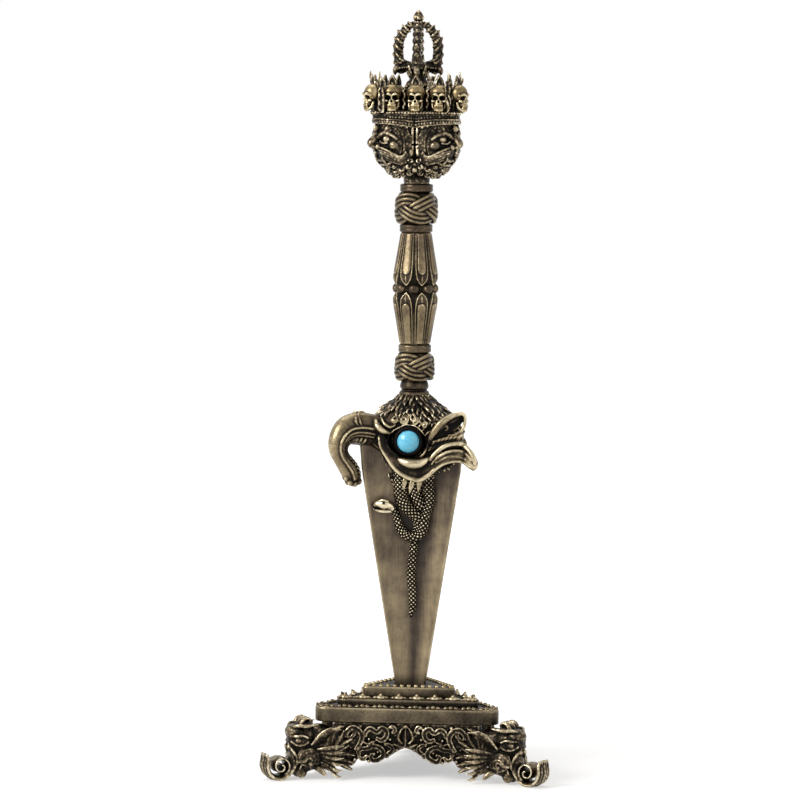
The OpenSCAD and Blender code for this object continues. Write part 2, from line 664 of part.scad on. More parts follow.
// Radius of a section of three round lobes that meet in seams at distance a
function lobed(a, rc, th) = let (c = (rc * rc - a * a) / (2 * rc - a))
    c * cos(off_nose(th)) + sqrt(pow(rc - c, 2) - pow(c * sin(off_nose(th)), 2));
// Distances round and up the face, both in millimetres
function relief(u, s) = let (v = s * faces_h)
    nose_out * bump(u, 0, 1.5) * bump(v, 9.4, 1.7) + 0.9 * bump(u, 0, 1) * bump(v, 13.6, 1.6)
    + 1.1 * bump(abs(u), 6.4, 1.8) * bump(v, 7.6, 1.8)
    + 1.1 * bump(abs(u), 5, 1.8) * bump(v, 11, 1.3)
    + 0.8 * bump(abs(u), 5, 3) * bump(v, 14.2, 0.9)
    + 1 * bump(u, 0, 2.6) * bump(v, 5.8, 0.8) - 0.7 * bump(u, 0, 2.6) * bump(v, 4.6, 0.5)
    + 1 * bump(u, 0, 2.2) * bump(v, 3, 1.1)
    + 0.8 * bump(abs(u), 10, 1.2) * bump(v, 8.6, 4.5);
// Share of the height, distance to a seam, distance to a cheekbone
face_levels = [[0, 6.2, 7.6], [0.08, 7.6, 10.4], [0.16, 8.3, 12.4], [0.24, 8.8, 13.6], [0.3, 9, 14.2],
    [0.38, 9.2, 14.5], [0.46, 9.3, 14.6], [0.54, 9.3, 14.5], [0.62, 9.3, 14.3],
    [0.7, 9.3, 14.1], [0.76, 9.3, 13.9]];
function face_around(a, rc, s, th) = let (r = lobed(a, rc, th), u = r * off_nose(th) / 57.3)
    r + relief(u, s) * min(1, s * 6);
cap_a = 7.1;
cap_corner_r = 12.2;
head_angles = [for (c = [90, 210, 330], d = [-60, -51, -40, -29, -18, -8, 0, 8, 18, 29, 40, 51]) c + d];
module three_faced_head() color("goldenrod") bored(neck_z, faces_h + neck_h + 5) {
    loft(concat(
        [for (l = [[0, neck_r], [0.4, neck_r], [1, neck_r + 0.5]])
            [for (a = head_angles) polar(l[1], a, neck_z + l[0] * neck_h)]],
        [for (l = face_levels) [for (a = head_angles)
            polar(face_around(l[1] + seam_a - 9.4, l[2] + face_r - 14.6 + 0.6, l[0], a), a,
                faces_z + 0.4 + l[0] * faces_h)]],
        [[for (a = head_angles) polar(three_sided(cap_a, cap_corner_r, a), a, band_z + 0.05)]],
        [[for (a = head_angles) polar(three_sided(cap_a, cap_corner_r, a), a, faces_top)]]));
}

// Crown: a three-sided band that carries five skulls along each side, corners shared
skull_steps = 4;
skull_side = skull_corner_r * 1.732;
module skull() {
    w = skull_w / 2;
    difference() {
        union() {
            hull() {
                ball([0, 0.2, skull_h * 0.68], [w, w, skull_h * 0.34], 6);
                ball([0, -0.5, skull_h * 0.42], [w * 0.9, w * 0.8, skull_h * 0.16], 4);
            }
            hull() {
                ball([0, -0.7, skull_h * 0.3], [w * 0.7, w * 0.7, skull_h * 0.16], 4);
                ball([0, -0.6, skull_h * 0.12], [w * 0.56, w * 0.56, skull_h * 0.13], 4);
            }
        }
        for (s = [-1, 1]) translate([s * w * 0.42, -w * 0.6, skull_h * 0.53]) rotate([90, 0, 0])
            cylinder(r = w * 0.34, h = w, $fn = 4);
    }
    // jewel leaf standing behind the brow
    hull() {
        ball([0, 0.8, skull_h * 0.8], [w * 0.62, 0.8, 0.8], 4);
        ball([0, 0.8, skull_h + leaf_h - 0.4], [0.3, 0.3, 0.4], 4);
    }
}
module at_skulls() {
    for (i = [0:2], k = [0:skull_steps - 1]) {
        a = polar(skull_corner_r, corners[i]);
        b = polar(skull_corner_r, corners[(i + 1) % 3]);
        facing = k == 0 ? corners[i] : corners[i] + 60;
        translate(mix(a, b, k / skull_steps)) rotate([0, 0, facing + 90])
            translate([0, k == 0 ? 1 : 0, 0]) children();
    }
}
band_levels = [[0, 9.9, 15.2], [0.3, 10.2, 16], [0.7, 9.9, 15.6], [1, 10.6, 18.4], [1.28, 10.6, 18.4]];
module skull_crown() color("khaki") cast() difference() {
    union() {
        loft([for (l = band_levels) [for (a = [0:15:345]) polar(
            three_sided(l[1] + band_wall - 2, l[2] + band_wall - 2, a), a, band_z + 0.1 + l[0] * band_h)]]);
        translate([0, 0, skull_z]) at_skulls() skull();
    }
    loft([for (l = [[-1, 0], [band_h + 0.1, 0], [band_h + 0.1 + fit, -1.2], [20, -1.2]])
        [for (a = head_angles) polar(
            three_sided(cap_a + fit + l[1], cap_corner_r + 2 * fit + l[1] * 1.6, a), a, band_z + l[0])]]);
}

// Half vajra: a turned core clamped on the rod, and four prongs round it

// Radius and height above the faces: the stem, the bowl under the cage, the centre prong and the jewel
cage_up = cage_z - faces_top;
vajra_up = vajra_top - faces_top;
core_profile = [
    [4.4, 0], [4.8, 0.8], [4.2, 1.6], [stem_r + 0.4, 2.2], [stem_r, 4], [stem_r, 7.6],
    [stem_r + 1, 8.6], [stem_r + 1.2, 9.6], [stem_r, 11.4], [stem_r, cage_up], [stem_r + 0.8, cage_up + 1.2],
    [stem_r, cage_up + 2.6], [1.2, cage_up + 4], [0.9, cage_up + 6.6], [1.5, cage_up + 7.6],
    [1.5, cage_up + 8.6], [0.9, cage_up + 9.6], [1.2, cage_up + 11.4], [0.9, cage_up + 12.4],
    [1, vajra_up - 2 * jewel_r - 1.6], [1.7, vajra_up - 2 * jewel_r - 0.9],
    [1.1, vajra_up - 2 * jewel_r - 0.2],
    [jewel_r, vajra_up - 1.2 * jewel_r], [0.7 * jewel_r, vajra_up - 0.5 * jewel_r]
];
module core_form(grow = 0) translate([0, 0, faces_top + fit]) rotate_extrude() polygon(concat(
    [[0, 0]], [for (p = core_profile) [p[0] + grow, p[1]]], [[0, vajra_up]]));

module vajra_core() color("goldenrod") difference() {
    core_form();
    translate([0, 0, faces_top - 1]) cylinder(r = rod_r + rod_gap, h = rod_top - faces_top + 1);
}

// Distance out, height in the cage, half thickness, half width
prong_line = [[1.6, 2.2, 1.4, 1.4], [4.6, 2.4, 1.8, 1.9], [prong_reach - 1.3, 4.2, 1.6, 1.5],
    [prong_reach - 1.3, 7.8, 1.5, 1.2], [prong_reach - 2.2, 11.2, 1.4, 1.1],
    [3.5, 14.2, 1.3, 1], [0.7, 15.4, 0.9, 1.2]];
module prong() {
    c = curve(prong_line, 1);
    sweep([for (p = c) [p[0], 0, cage_z + cage_h * p[1] / 16.5]],
        [for (p = c) p[3]], [for (p = c) p[2]], [0, 0, 1], 6);
    // flames along its back: distance in from the reach, height, rise of the tip
    for (f = [[0.2, 2.8, -3.4], [0, 6, 1], [1.1, 10.8, 1.8]]) hull() {
        ball([prong_reach - f[0] - 1.4, 0, cage_z + f[1]], [0.9, 0.7, 1.1], 4);
        ball([prong_reach - f[0] + 0.2, 0, cage_z + f[1] + f[2]], [0.3, 0.3, 0.3], 4);
    }
}
module vajra_prongs() color("darkgoldenrod") cast() difference() {
    for (a = [0:90:270]) rotate([0, 0, a]) prong();
    core_form(2 * fit, $fn = 24);
}

lower_tier();
middle_tier();
upper_tier();
apron(sides[0]);  // apron_front
apron(sides[1]);  // apron_back_right
apron(sides[2]);  // apron_back_left
foot(corners[0]);  // foot_back
foot(corners[1]);  // foot_front_left
foot(corners[2]);  // foot_front_right
foot_screws();
tier_screws();
blade();
makara_head();
eye_bezel();  // eye_bezel_front
across() eye_bezel();  // eye_bezel_back
eye_stone();  // eye_stone_front
across() eye_stone();  // eye_stone_back
snake(sides[0]);  // snake_front
snake(sides[1]);  // snake_back_right
across() snake(sides[0]);  // snake_back_left
tie_rod();
collar();
knot(lower_knot_z, lower_knot_r, lower_knot_h);  // lower_knot
ring(lower_ring_z);  // lower_ring
lotus_grip();
ring(upper_ring_z);  // upper_ring
knot(upper_knot_z, upper_knot_r, upper_knot_h);  // upper_knot
ring(neck_ring_z);  // neck_ring
three_faced_head();
skull_crown();
vajra_core();
vajra_prongs();
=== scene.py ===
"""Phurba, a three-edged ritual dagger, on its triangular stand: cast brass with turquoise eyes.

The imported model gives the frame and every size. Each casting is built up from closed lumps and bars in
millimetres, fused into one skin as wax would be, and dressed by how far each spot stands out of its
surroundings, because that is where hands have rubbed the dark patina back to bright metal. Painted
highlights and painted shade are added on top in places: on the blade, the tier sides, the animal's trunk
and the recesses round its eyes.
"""
from __future__ import annotations

import logging
import math
import random
from collections.abc import Iterable, Sequence
from dataclasses import dataclass
from enum import Enum

import bmesh
import bpy
import numpy as np
from mathutils import Matrix, Vector

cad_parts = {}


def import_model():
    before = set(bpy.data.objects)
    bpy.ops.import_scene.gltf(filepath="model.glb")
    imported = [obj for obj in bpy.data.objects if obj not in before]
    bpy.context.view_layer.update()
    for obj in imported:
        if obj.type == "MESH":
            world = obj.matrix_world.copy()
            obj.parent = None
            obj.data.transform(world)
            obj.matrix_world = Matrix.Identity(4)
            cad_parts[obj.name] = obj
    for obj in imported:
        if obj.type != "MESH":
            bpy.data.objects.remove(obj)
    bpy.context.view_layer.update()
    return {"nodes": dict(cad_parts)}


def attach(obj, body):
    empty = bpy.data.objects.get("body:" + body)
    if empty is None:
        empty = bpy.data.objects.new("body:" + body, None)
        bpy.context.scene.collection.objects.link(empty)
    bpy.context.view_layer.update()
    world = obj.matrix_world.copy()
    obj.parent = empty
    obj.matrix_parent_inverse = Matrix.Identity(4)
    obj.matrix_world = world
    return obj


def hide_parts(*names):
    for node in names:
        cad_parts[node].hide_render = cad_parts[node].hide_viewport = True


log = logging.getLogger("phurba")

MM = 0.001
CORNERS = (90, 210, 330)
SIDES = (270, 30, 150)
TRUNK_CORNER = 210.0
# Ways that the height of a bar can lean
FRONT, UP, OUT, ASIDE = (0, -1, 0), (0, 0, 1), (1, 0, 0), (0, 1, 0)
# Cosine and tangent of 30 degrees, as the drawings have them
COS30, TAN30 = 0.866, 0.577
# What the lamps aim at, in metres
AIM = Vector((0, 0, 0.12))
# The move that leaves a form where it is
STILL = Matrix.Identity(4)
# Points of a lump that lie closer than this, in millimetres, are one
SAME = 1e-4

Array = np.ndarray
Point = Sequence[float]


class Body(Enum):
    """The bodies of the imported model."""

    STAND = "stand"
    PHURBA = "phurba"


class Slot(Enum):
    """The record's material slots."""

    BRASS = "antique_brass"
    BLADE = "blade_brass"
    TURQUOISE = "turquoise"
    STEEL = "screw_steel"


# Paths, frames and forms


def polar(radius: float, degrees: float, z: float = 0.0) -> Array:
    """The point at that radius and angle round the vertical axis."""
    a = math.radians(degrees)
    return np.array([radius * math.cos(a), radius * math.sin(a), z])


def ring_at(radius: Array | float, degrees: Array, z: Array | float) -> Array:
    """The points at that radius and height in those directions."""
    a = np.radians(degrees)
    return np.column_stack([radius * np.cos(a), radius * np.sin(a), np.broadcast_to(z, a.shape)])


def spline(points: Iterable[Point], steps: int) -> Array:
    """Draws a smooth curve through a few chosen points.

    Args:
        points: Rows of numbers, such as a place followed by a width and a height.
        steps: How many steps go between two neighbours.

    Returns:
        The rows of the curve, first and last point included.
    """
    p = np.array(list(points), dtype=float)
    ends = np.vstack([p[:1], p, p[-1:]])
    s = np.linspace(0, 1, steps, endpoint=False)[:, None]
    rows = []
    for a, b, c, d in zip(ends, ends[1:], ends[2:], ends[3:]):
        rows.append(0.5 * (2 * b + (c - a) * s + (2 * a - 5 * b + 4 * c - d) * s**2
            + (3 * b - a - 3 * c + d) * s**3))
    return np.vstack(rows + [p[-1:]])


def carried(path: Array, up: Point) -> tuple[Array, Array]:
    """Carries a normal along a path without twist.

    Args:
        path: The points, one row each.
        up: The direction that the first normal leans to.

    Returns:
        The normals, and the directions across the path.
    """
    tangents = np.gradient(path, axis=0)
    tangents /= np.linalg.norm(tangents, axis=1)[:, None] + 1e-12
    normal = np.array(up, dtype=float)
    normals = []
    for t in tangents:
        normal = normal - t * normal.dot(t)
        normal /= np.linalg.norm(normal) + 1e-12
        normals.append(normal)
    normals = np.array(normals)
    return normals, np.cross(normals, tangents)


def skin(rings: Array) -> bmesh.types.BMesh:
    """Wraps a sheet round through rings of equal count and closes its ends.

    Args:
        rings: Places in millimetres, ring by ring, as an array of rings, points and coordinates.

    Returns:
        The closed form.
    """
    along, around = rings.shape[:2]
    bm = bmesh.new()
    bmesh.ops.create_grid(bm, x_segments=around, y_segments=along - 1, size=1.0)
    for v in bm.verts:
        i = round((v.co.x + 1) / 2 * around) % around
        j = round((v.co.y + 1) / 2 * (along - 1))
        v.co = rings[j, i]
    bmesh.ops.remove_doubles(bm, verts=bm.verts, dist=SAME)
    bmesh.ops.holes_fill(bm, edges=[e for e in bm.edges if e.is_boundary], sides=0)
    bmesh.ops.recalc_face_normals(bm, faces=bm.faces)
    return bm


def ringed(path: Array, widths: Array, heights: Array, up: Point, around: int) -> Array:
    """The rings of a bar along a path.

    Args:
        path: The points of the middle line.
        widths: Half width at each point, across the carried normal.
        heights: Half height at each point, along it.
        up: The direction that the first normal leans to.
        around: Points in a ring.

    Returns:
        The rings, for skin().
    """
    normals, across = carried(path, up)
    a = np.linspace(0, math.tau, around, endpoint=False)
    return (path[:, None] + (widths[:, None] * np.cos(a))[..., None] * across[:, None]
        + (heights[:, None] * np.sin(a))[..., None] * normals[:, None])


def turn(degrees: float) -> Matrix:
    """A turn round the vertical axis."""
    return Matrix.Rotation(math.radians(degrees), 4, "Z")


def across_plane(degrees: float) -> Matrix:
    """A reflection in the upright plane through the axis at that angle."""
    a = math.radians(degrees)
    n = Vector((-math.sin(a), math.cos(a), 0))
    return Matrix([[(i == j) - 2 * n[i] * n[j] for j in range(3)] + [0] for i in range(3)] + [[0, 0, 0, 1]])


def bell(x: Array, width: float) -> Array:
    """A soft hill round x = 0, down to about a third at that width."""
    return np.exp(-((x / width) ** 2))


def three_sided(a: float, rc: float, degrees: Array | float, crisp: int = 6) -> Array | float:
    """Radius of a section with three flat sides and round corners.

    Args:
        a: Distance from the axis to a side.
        rc: Distance from the axis to a corner.
        degrees: The directions asked for.
        crisp: How tight the corners are.

    Returns:
        The radius in each direction.
    """
    off = 60 - np.abs(np.mod(np.asarray(degrees, dtype=float) - 30, 120) - 60)
    c = np.cos(np.radians(off)) / a
    return (c**crisp + (1 / rc) ** crisp) ** (-1 / crisp)


class Clay:
    """A pile of closed lumps in millimetres, which is cast into one skin."""

    def __init__(self) -> None:
        """Starts an empty pile."""
        self.bm = bmesh.new()

    def add(self, form: bmesh.types.BMesh | bpy.types.Mesh, matrix: Matrix = STILL) -> None:
        """Adds a closed form.

        Args:
            form: The form, which is used up if it is a bmesh.
            matrix: Where it goes.
        """
        if isinstance(form, bmesh.types.BMesh):
            mesh = bpy.data.meshes.new("lump")
            form.to_mesh(mesh)
            form.free()
        else:
            mesh = form.copy()
        move(mesh, matrix)
        self.bm.from_mesh(mesh)
        bpy.data.meshes.remove(mesh)

    def ball(self, at: Point, size: Point | float, around: int) -> None:
        """Adds an egg.

        Args:
            at: Its middle.
            size: Its three half sizes, or one for all.
            around: Segments round it.
        """
        sizes = (size, size, size) if isinstance(size, (int, float)) else size
        matrix = Matrix.Translation(Vector(at)) @ Matrix.Diagonal((*sizes, 1))
        bm = bmesh.new()
        bmesh.ops.create_uvsphere(bm, u_segments=around, v_segments=around // 2 + 2, radius=1.0,
            matrix=matrix)
        self.add(bm)

    def bar(self, rows: Array | Sequence[Point], up: Point, steps: int, around: int) -> None:
        """Adds a bar along a curve.

        Args:
            rows: Rows of x, y, z, half width and half height.
            up: The direction that the height leans to.
            steps: Steps between two rows of a rough curve, or 0 where the rows are close enough.
            around: Points round the bar.
        """
        table = spline(rows, steps) if steps else np.array(rows, dtype=float)
        self.add(skin(ringed(table[:, :3], table[:, 3], table[:, 4], up, around)))

    def turned(self, profile: Sequence[Point], around: int) -> None:
        """Adds a form turned on the vertical axis, from a profile of radius and height."""
        self.add(spun(profile, around))

    def mesh(self) -> bpy.types.Mesh:
        """The pile as a mesh in millimetres, for use as a lump of another pile."""
        mesh = bpy.data.meshes.new("pile")
        self.bm.to_mesh(mesh)
        return mesh

    def cast(self, name: str, voxel: float) -> bpy.types.Object:
        """Fuses the pile into one closed skin, and evens it out once.

        Args:
            name: Name of the piece.
            voxel: Size of the finest feature that survives, in millimetres.

        Returns:
            The cast piece, in metres.
        """
        rough = as_piece(name + "_pile", self.bm)
        pile = rough.data
        remesh = rough.modifiers.new("fuse", "REMESH")
        remesh.mode = "VOXEL"
        remesh.voxel_size = voxel * MM
        graph = bpy.context.evaluated_depsgraph_get()
        fused = bpy.data.meshes.new_from_object(rough.evaluated_get(graph))
        bpy.data.objects.remove(rough)
        bpy.data.meshes.remove(pile)
        fused.name = name
        piece = placed(name, fused)
        places = Skin(piece)
        places.at = places.evened(places.at, 1)
        places.write()
        return piece


def spun(profile: Sequence[Point], around: int, hollow: bool = False) -> bmesh.types.BMesh:
    """Turns a profile on the vertical axis.

    Args:
        profile: Radius and height, from bottom to top.
        around: Steps round it.
        hollow: Whether the profile is the closed outline of a ring, which keeps off the axis.

    Returns:
        The closed form.
    """
    rows = list(profile)
    if not hollow and rows[0][0] > 0:
        rows.insert(0, (0.0, rows[0][1]))
    if not hollow and rows[-1][0] > 0:
        rows.append((0.0, rows[-1][1]))
    bm = bmesh.new()
    verts = [bm.verts.new((r, 0, z)) for r, z in rows]
    edges = [bm.edges.new(pair) for pair in zip(verts, verts[1:] + verts[:1] if hollow else verts[1:])]
    bmesh.ops.spin(bm, geom=verts + edges, cent=(0, 0, 0), axis=UP, angle=math.tau, steps=around,
        use_merge=True)
    bmesh.ops.remove_doubles(bm, verts=bm.verts, dist=SAME)
    bmesh.ops.recalc_face_normals(bm, faces=bm.faces)
    return bm


class Skin:
    """The surface of a piece, worked by moving its points along their normals, in millimetres."""

    def __init__(self, piece: bpy.types.Object) -> None:
        """Reads the places and the edges."""
        self.mesh = piece.data
        count = len(self.mesh.vertices)
        flat = np.empty(count * 3)
        self.mesh.vertices.foreach_get("co", flat)
        self.at = flat.reshape(-1, 3) / MM
        edges = np.empty(len(self.mesh.edges) * 2, dtype=np.int64)
        self.mesh.edges.foreach_get("vertices", edges)
        self.edges = edges.reshape(-1, 2)
        self.wear_and_light = np.full(count, 0.5)
        self.links = np.bincount(self.edges.ravel(), minlength=count).astype(float)

    def normals(self) -> Array:
        """The normals at the points."""
        flat = np.empty(len(self.at) * 3)
        self.mesh.vertex_normals.foreach_get("vector", flat)
        return flat.reshape(-1, 3)

    def evened(self, places: Array, times: int) -> Array:
        """Draws every point half way to the middle of its neighbours.

        Args:
            places: The points to start from.
            times: How often.

        Returns:
            The moved points.
        """
        a, b = self.edges[:, 0], self.edges[:, 1]
        count = len(places)
        for _ in range(times):
            middle = np.stack([np.bincount(a, places[b, k], count) + np.bincount(b, places[a, k], count)
                for k in range(places.shape[1])], axis=1)
            places = places + 0.5 * (middle / self.links[:, None] - places)
        return places

    def write(self) -> None:
        """Writes the places back to the mesh."""
        self.mesh.vertices.foreach_set("co", (self.at * MM).ravel())
        self.mesh.update()

    def near(self, path: Array) -> tuple[Array, Array]:
        """How far the points lie from a path.

        Args:
            path: Points of the path, closely set.

        Returns:
            The distance, and the share of the path's length at the nearest spot.
        """
        lo, hi = path.min(axis=0) - 6, path.max(axis=0) + 6
        inside = np.all((self.at > lo) & (self.at < hi), axis=1)
        far = np.full(len(self.at), 99.0)
        share = np.zeros(len(self.at))
        idx = np.nonzero(inside)[0]
        for part in np.array_split(idx, max(1, len(idx) // 4000)):
            if len(part):
                d = np.linalg.norm(self.at[part, None] - path[None], axis=2)
                far[part] = d.min(axis=1)
                share[part] = d.argmin(axis=1) / max(len(path) - 1, 1)
        return far, share

    def weather(self, fine: int, broad: int, gain: tuple[float, float]) -> None:
        """Stores how far each spot stands out of what is round it, for the finish to read as wear.

        Args:
            fine: Times evened for small features.
            broad: Times evened for large ones.
            gain: How strongly each of the two counts, per millimetre.
        """
        normals = self.normals()
        near = self.evened(self.at, fine)
        wide = self.evened(near, broad)
        proud = np.einsum("ij,ij->i", self.at - near, normals) * gain[0]
        proud += np.einsum("ij,ij->i", self.at - wide, normals) * gain[1]
        self.wear_and_light = 0.5 + proud
        self.write_wear_and_light()

    def tint(self, path: Array, width: float, amount: float, matrix: Matrix = STILL) -> None:
        """Adds to the wear and painted light along a path, less and less away from it.

        Args:
            path: Points of the path, closely set.
            width: Distance at which about a third of the effect is left.
            amount: What is added on the path.
            matrix: A turn or reflection of the path.
        """
        far, _ = self.near(path @ np.array(matrix.to_3x3()).T)
        self.wear_and_light = self.wear_and_light + amount * bell(far, width)

    def write_wear_and_light(self) -> None:
        """Writes the wear and painted light back, kept between 0 and 1."""
        self.store("wear_and_light", np.clip(self.wear_and_light, 0, 1))

    def store(self, name: str, values: Array) -> None:
        """Keeps a number at every point under that name."""
        kept = self.mesh.attributes.get(name) or self.mesh.attributes.new(name, "FLOAT", "POINT")
        kept.data.foreach_set("value", values.astype(np.float32))


def move(mesh: bpy.types.Mesh, matrix: Matrix) -> None:
    """Moves a mesh, and keeps its faces outward where the move is a reflection."""
    mesh.transform(matrix)
    if matrix.determinant() < 0:
        mesh.flip_normals()


def placed(name: str, mesh: bpy.types.Mesh) -> bpy.types.Object:
    """Puts a mesh into the scene as an object of that name."""
    piece = bpy.data.objects.new(name, mesh)
    bpy.context.scene.collection.objects.link(piece)
    return piece


def twin(name: str, mesh: bpy.types.Mesh, matrix: Matrix) -> bpy.types.Object:
    """Puts a moved copy of a finished mesh into the scene, under its own name."""
    copy = mesh.copy()
    copy.name = name
    move(copy, matrix)
    return placed(name, copy)


def as_piece(name: str, form: bmesh.types.BMesh) -> bpy.types.Object:
    """Makes an object of a form in millimetres.

    Args:
        name: Name of the piece.
        form: The closed form, which is used up.

    Returns:
        The piece, in metres.
    """
    mesh = bpy.data.meshes.new(name)
    form.to_mesh(mesh)
    form.free()
    mesh.transform(Matrix.Scale(MM, 4))
    return placed(name, mesh)


# Finishes


def linear(colour: str) -> tuple[float, float, float, float]:
    """A hex sRGB colour as the linear colour that a shader takes."""
    parts = [int(colour[i : i + 2], 16) / 255 for i in (1, 3, 5)]
    return (*(c / 12.92 if c <= 0.04045 else ((c + 0.055) / 1.055) ** 2.4 for c in parts), 1.0)


class Net:
    """A material's nodes, or the world's."""

    def __init__(self, tree: bpy.types.NodeTree) -> None:
        """Clears the tree."""
        self.tree = tree
        tree.nodes.clear()

    def add(self, kind: str, **settings: object) -> bpy.types.Node:
        """Adds a node with its settings and links.

        Args:
            kind: The node type without its ShaderNode prefix.
            **settings: Values of the node's own properties, and of its inputs by name with spaces as
                underscores. A value that is an output socket is linked.

        Returns:
            The node.
        """
        node = self.tree.nodes.new("ShaderNode" + kind)
        later = {}
        for key, value in settings.items():
            if hasattr(node, key) and key not in ("inputs", "color"):
                setattr(node, key, value)
            else:
                later[key] = value
        for key, value in later.items():
            self.feed(node, int(key[1:]) if key[0] == "i" and key[1:].isdigit()
                else key.replace("_", " "), value)
        return node

    def feed(self, node: bpy.types.Node, key: str | int, value: object) -> None:
        """Sets or links one input."""
        socket = node.inputs[key]
        if isinstance(value, bpy.types.NodeSocket):
            self.tree.links.new(value, socket)
        else:
            socket.default_value = value

    def ramp(self, fac: bpy.types.NodeSocket, *stops: tuple[float, str]) -> bpy.types.NodeSocket:
        """A colour ramp.

        Args:
            fac: What drives it.
            *stops: Places and hex colours, lowest first.

        Returns:
            Its colour.
        """
        node = self.add("ValToRGB", Fac=fac)
        band = node.color_ramp
        while len(band.elements) < len(stops):
            band.elements.new(0.5)
        for element, (place, colour) in zip(band.elements, stops):
            element.position = place
            element.color = linear(colour)
        return node.outputs["Color"]

    def level(self, fac: bpy.types.NodeSocket, lo: float, hi: float, out_lo: float,
            out_hi: float) -> bpy.types.NodeSocket:
        """Maps one range of numbers to another."""
        node = self.add("MapRange", Value=fac, From_Min=lo, From_Max=hi, To_Min=out_lo, To_Max=out_hi)
        return node.outputs["Result"]

    def sum(self, kind: str, a: object, b: object) -> bpy.types.NodeSocket:
        """A Math node, such as ADD or MULTIPLY."""
        node = self.add("Math", operation=kind)
        self.feed(node, 0, a)
        self.feed(node, 1, b)
        return node.outputs[0]

    def noise(self, where: bpy.types.NodeSocket, size: float, detail: float,
            rough: float = 0.6) -> bpy.types.NodeSocket:
        """Noise with lumps of that size in millimetres."""
        node = self.add("TexNoise", Vector=where, Scale=1 / (size * MM), Detail=detail, Roughness=rough)
        return node.outputs["Fac"]

    def metal(self, colour: object, metallic: object, rough: object, bump: bpy.types.Node) -> None:
        """Adds the shader of a metal and the material's output."""
        shader = self.add("BsdfPrincipled", Base_Color=colour, Metallic=metallic, Roughness=rough,
            Normal=bump.outputs["Normal"])
        self.add("OutputMaterial", Surface=shader.outputs["BSDF"])


@dataclass(frozen=True)
class Finish:
    """What the finishes share."""

    name: str

    def start(self) -> tuple[bpy.types.Material, Net, bpy.types.NodeSocket]:
        """An empty material, its nodes, and the place on the piece in object coordinates."""
        mat = bpy.data.materials.new(self.name)
        mat.use_nodes = True
        net = Net(mat.node_tree)
        return mat, net, net.add("TexCoord").outputs["Object"]


@dataclass(frozen=True)
class CastBrass(Finish):
    """Antique brass: lost-wax castings, chased, dipped to a dark brown patina, and rubbed by hands.

    The eye gets near-black brown where the cast lies deep, a soft brown on the open metal, and warm
    yellow brass, smoother and truly metallic, on everything that stands proud. The patina is thin enough
    for the metal to show its sheen through it. Chased finishes also have small nodules a millimetre
    apart.
    """

    deep: str = "#0a0806"
    low: str = "#1c1711"
    open: str = "#4a3f32"
    rubbed: str = "#84755a"
    bright: str = "#c8bb9b"
    shift: float = 0.0
    chase: float = 0.0

    def material(self) -> bpy.types.Material:
        """Builds the material."""
        mat, net, place = self.start()
        wear_and_light = net.add("Attribute", attribute_name="wear_and_light").outputs["Fac"]
        cloud = net.noise(place, 9.0, 4.0, 0.6)
        speck = net.noise(place, 0.9, 4.0, 0.7)
        grain = net.noise(place, 0.35, 2.0, 0.7)
        drift = net.sum("ADD", net.level(cloud, 0.25, 0.75, -0.09, 0.09),
            net.level(speck, 0.3, 0.7, -0.06, 0.06))
        if self.chase:
            nodules = net.add("TexVoronoi", Vector=place, Scale=1 / (1.0 * MM),
                Randomness=0.9).outputs["Distance"]
            drift = net.sum("ADD", drift, net.level(nodules, 0.05, 0.6, self.chase, -self.chase))
        rub_and_light = net.sum("ADD", net.sum("ADD", wear_and_light, drift), self.shift)
        colour = net.ramp(rub_and_light, (0.2, self.deep), (0.43, self.low), (0.56, self.open), (0.72, self.rubbed),
            (0.92, self.bright))
        metal = net.level(rub_and_light, 0.3, 0.8, 0.88, 0.97)
        rough = net.sum("ADD", net.level(rub_and_light, 0.25, 0.85, 0.5, 0.24),
            net.level(speck, 0.3, 0.7, -0.05, 0.06))
        bump = net.add("Bump", Strength=0.25, Distance=0.00012,
            Height=net.sum("ADD", grain, net.sum("MULTIPLY", speck, 0.6)))
        net.metal(colour, metal, rough, bump)
        return mat


@dataclass(frozen=True)
class BladeBrass(Finish):
    """Blade brass: cast, then filed and rubbed lengthwise to a satin ground.

    The eye gets a smooth, warm grey-brown metal with fine streaks along the blade, a browner bloom down
    the hollow, partly patina where no cloth reaches and partly painted shade of the hollow face, brighter
    metal beside the cutting edges, partly rubbed and partly painted highlight, painted highlight and shade
    across the faces, painted shadow under the snakes and the jaw, and a few dark spots.
    """

    def material(self) -> bpy.types.Material:
        """Builds the material."""
        mat, net, place = self.start()
        wear_and_light = net.add("Attribute", attribute_name="wear_and_light").outputs["Fac"]
        drawn = net.add("Mapping", Vector=place, Scale=(1, 1, 0.06)).outputs["Vector"]
        streak = net.noise(drawn, 0.8, 3.0, 0.6)
        cloud = net.noise(place, 7.0, 4.0, 0.62)
        spots = net.noise(place, 1.6, 5.0, 0.75)
        drift = net.sum("ADD", net.level(cloud, 0.25, 0.75, -0.16, 0.16),
            net.level(streak, 0.3, 0.7, -0.06, 0.06))
        drift = net.sum("ADD", drift, net.level(spots, 0.62, 0.74, 0.0, -0.22))
        tone = net.sum("ADD", wear_and_light, drift)
        colour = net.ramp(tone, (0.0, "#1d1712"), (0.28, "#453a31"), (0.5, "#695d4c"), (0.74, "#8b7c63"),
            (1.0, "#b5a686"))
        metal = net.level(tone, 0.1, 0.6, 0.6, 0.97)
        rough = net.sum("ADD", net.level(tone, 0.1, 0.8, 0.5, 0.3),
            net.level(streak, 0.3, 0.7, -0.04, 0.05))
        bump = net.add("Bump", Strength=0.2, Distance=0.0001,
            Height=net.sum("ADD", streak, net.sum("MULTIPLY", spots, 0.5)))
        net.metal(colour, metal, rough, bump)
        return mat


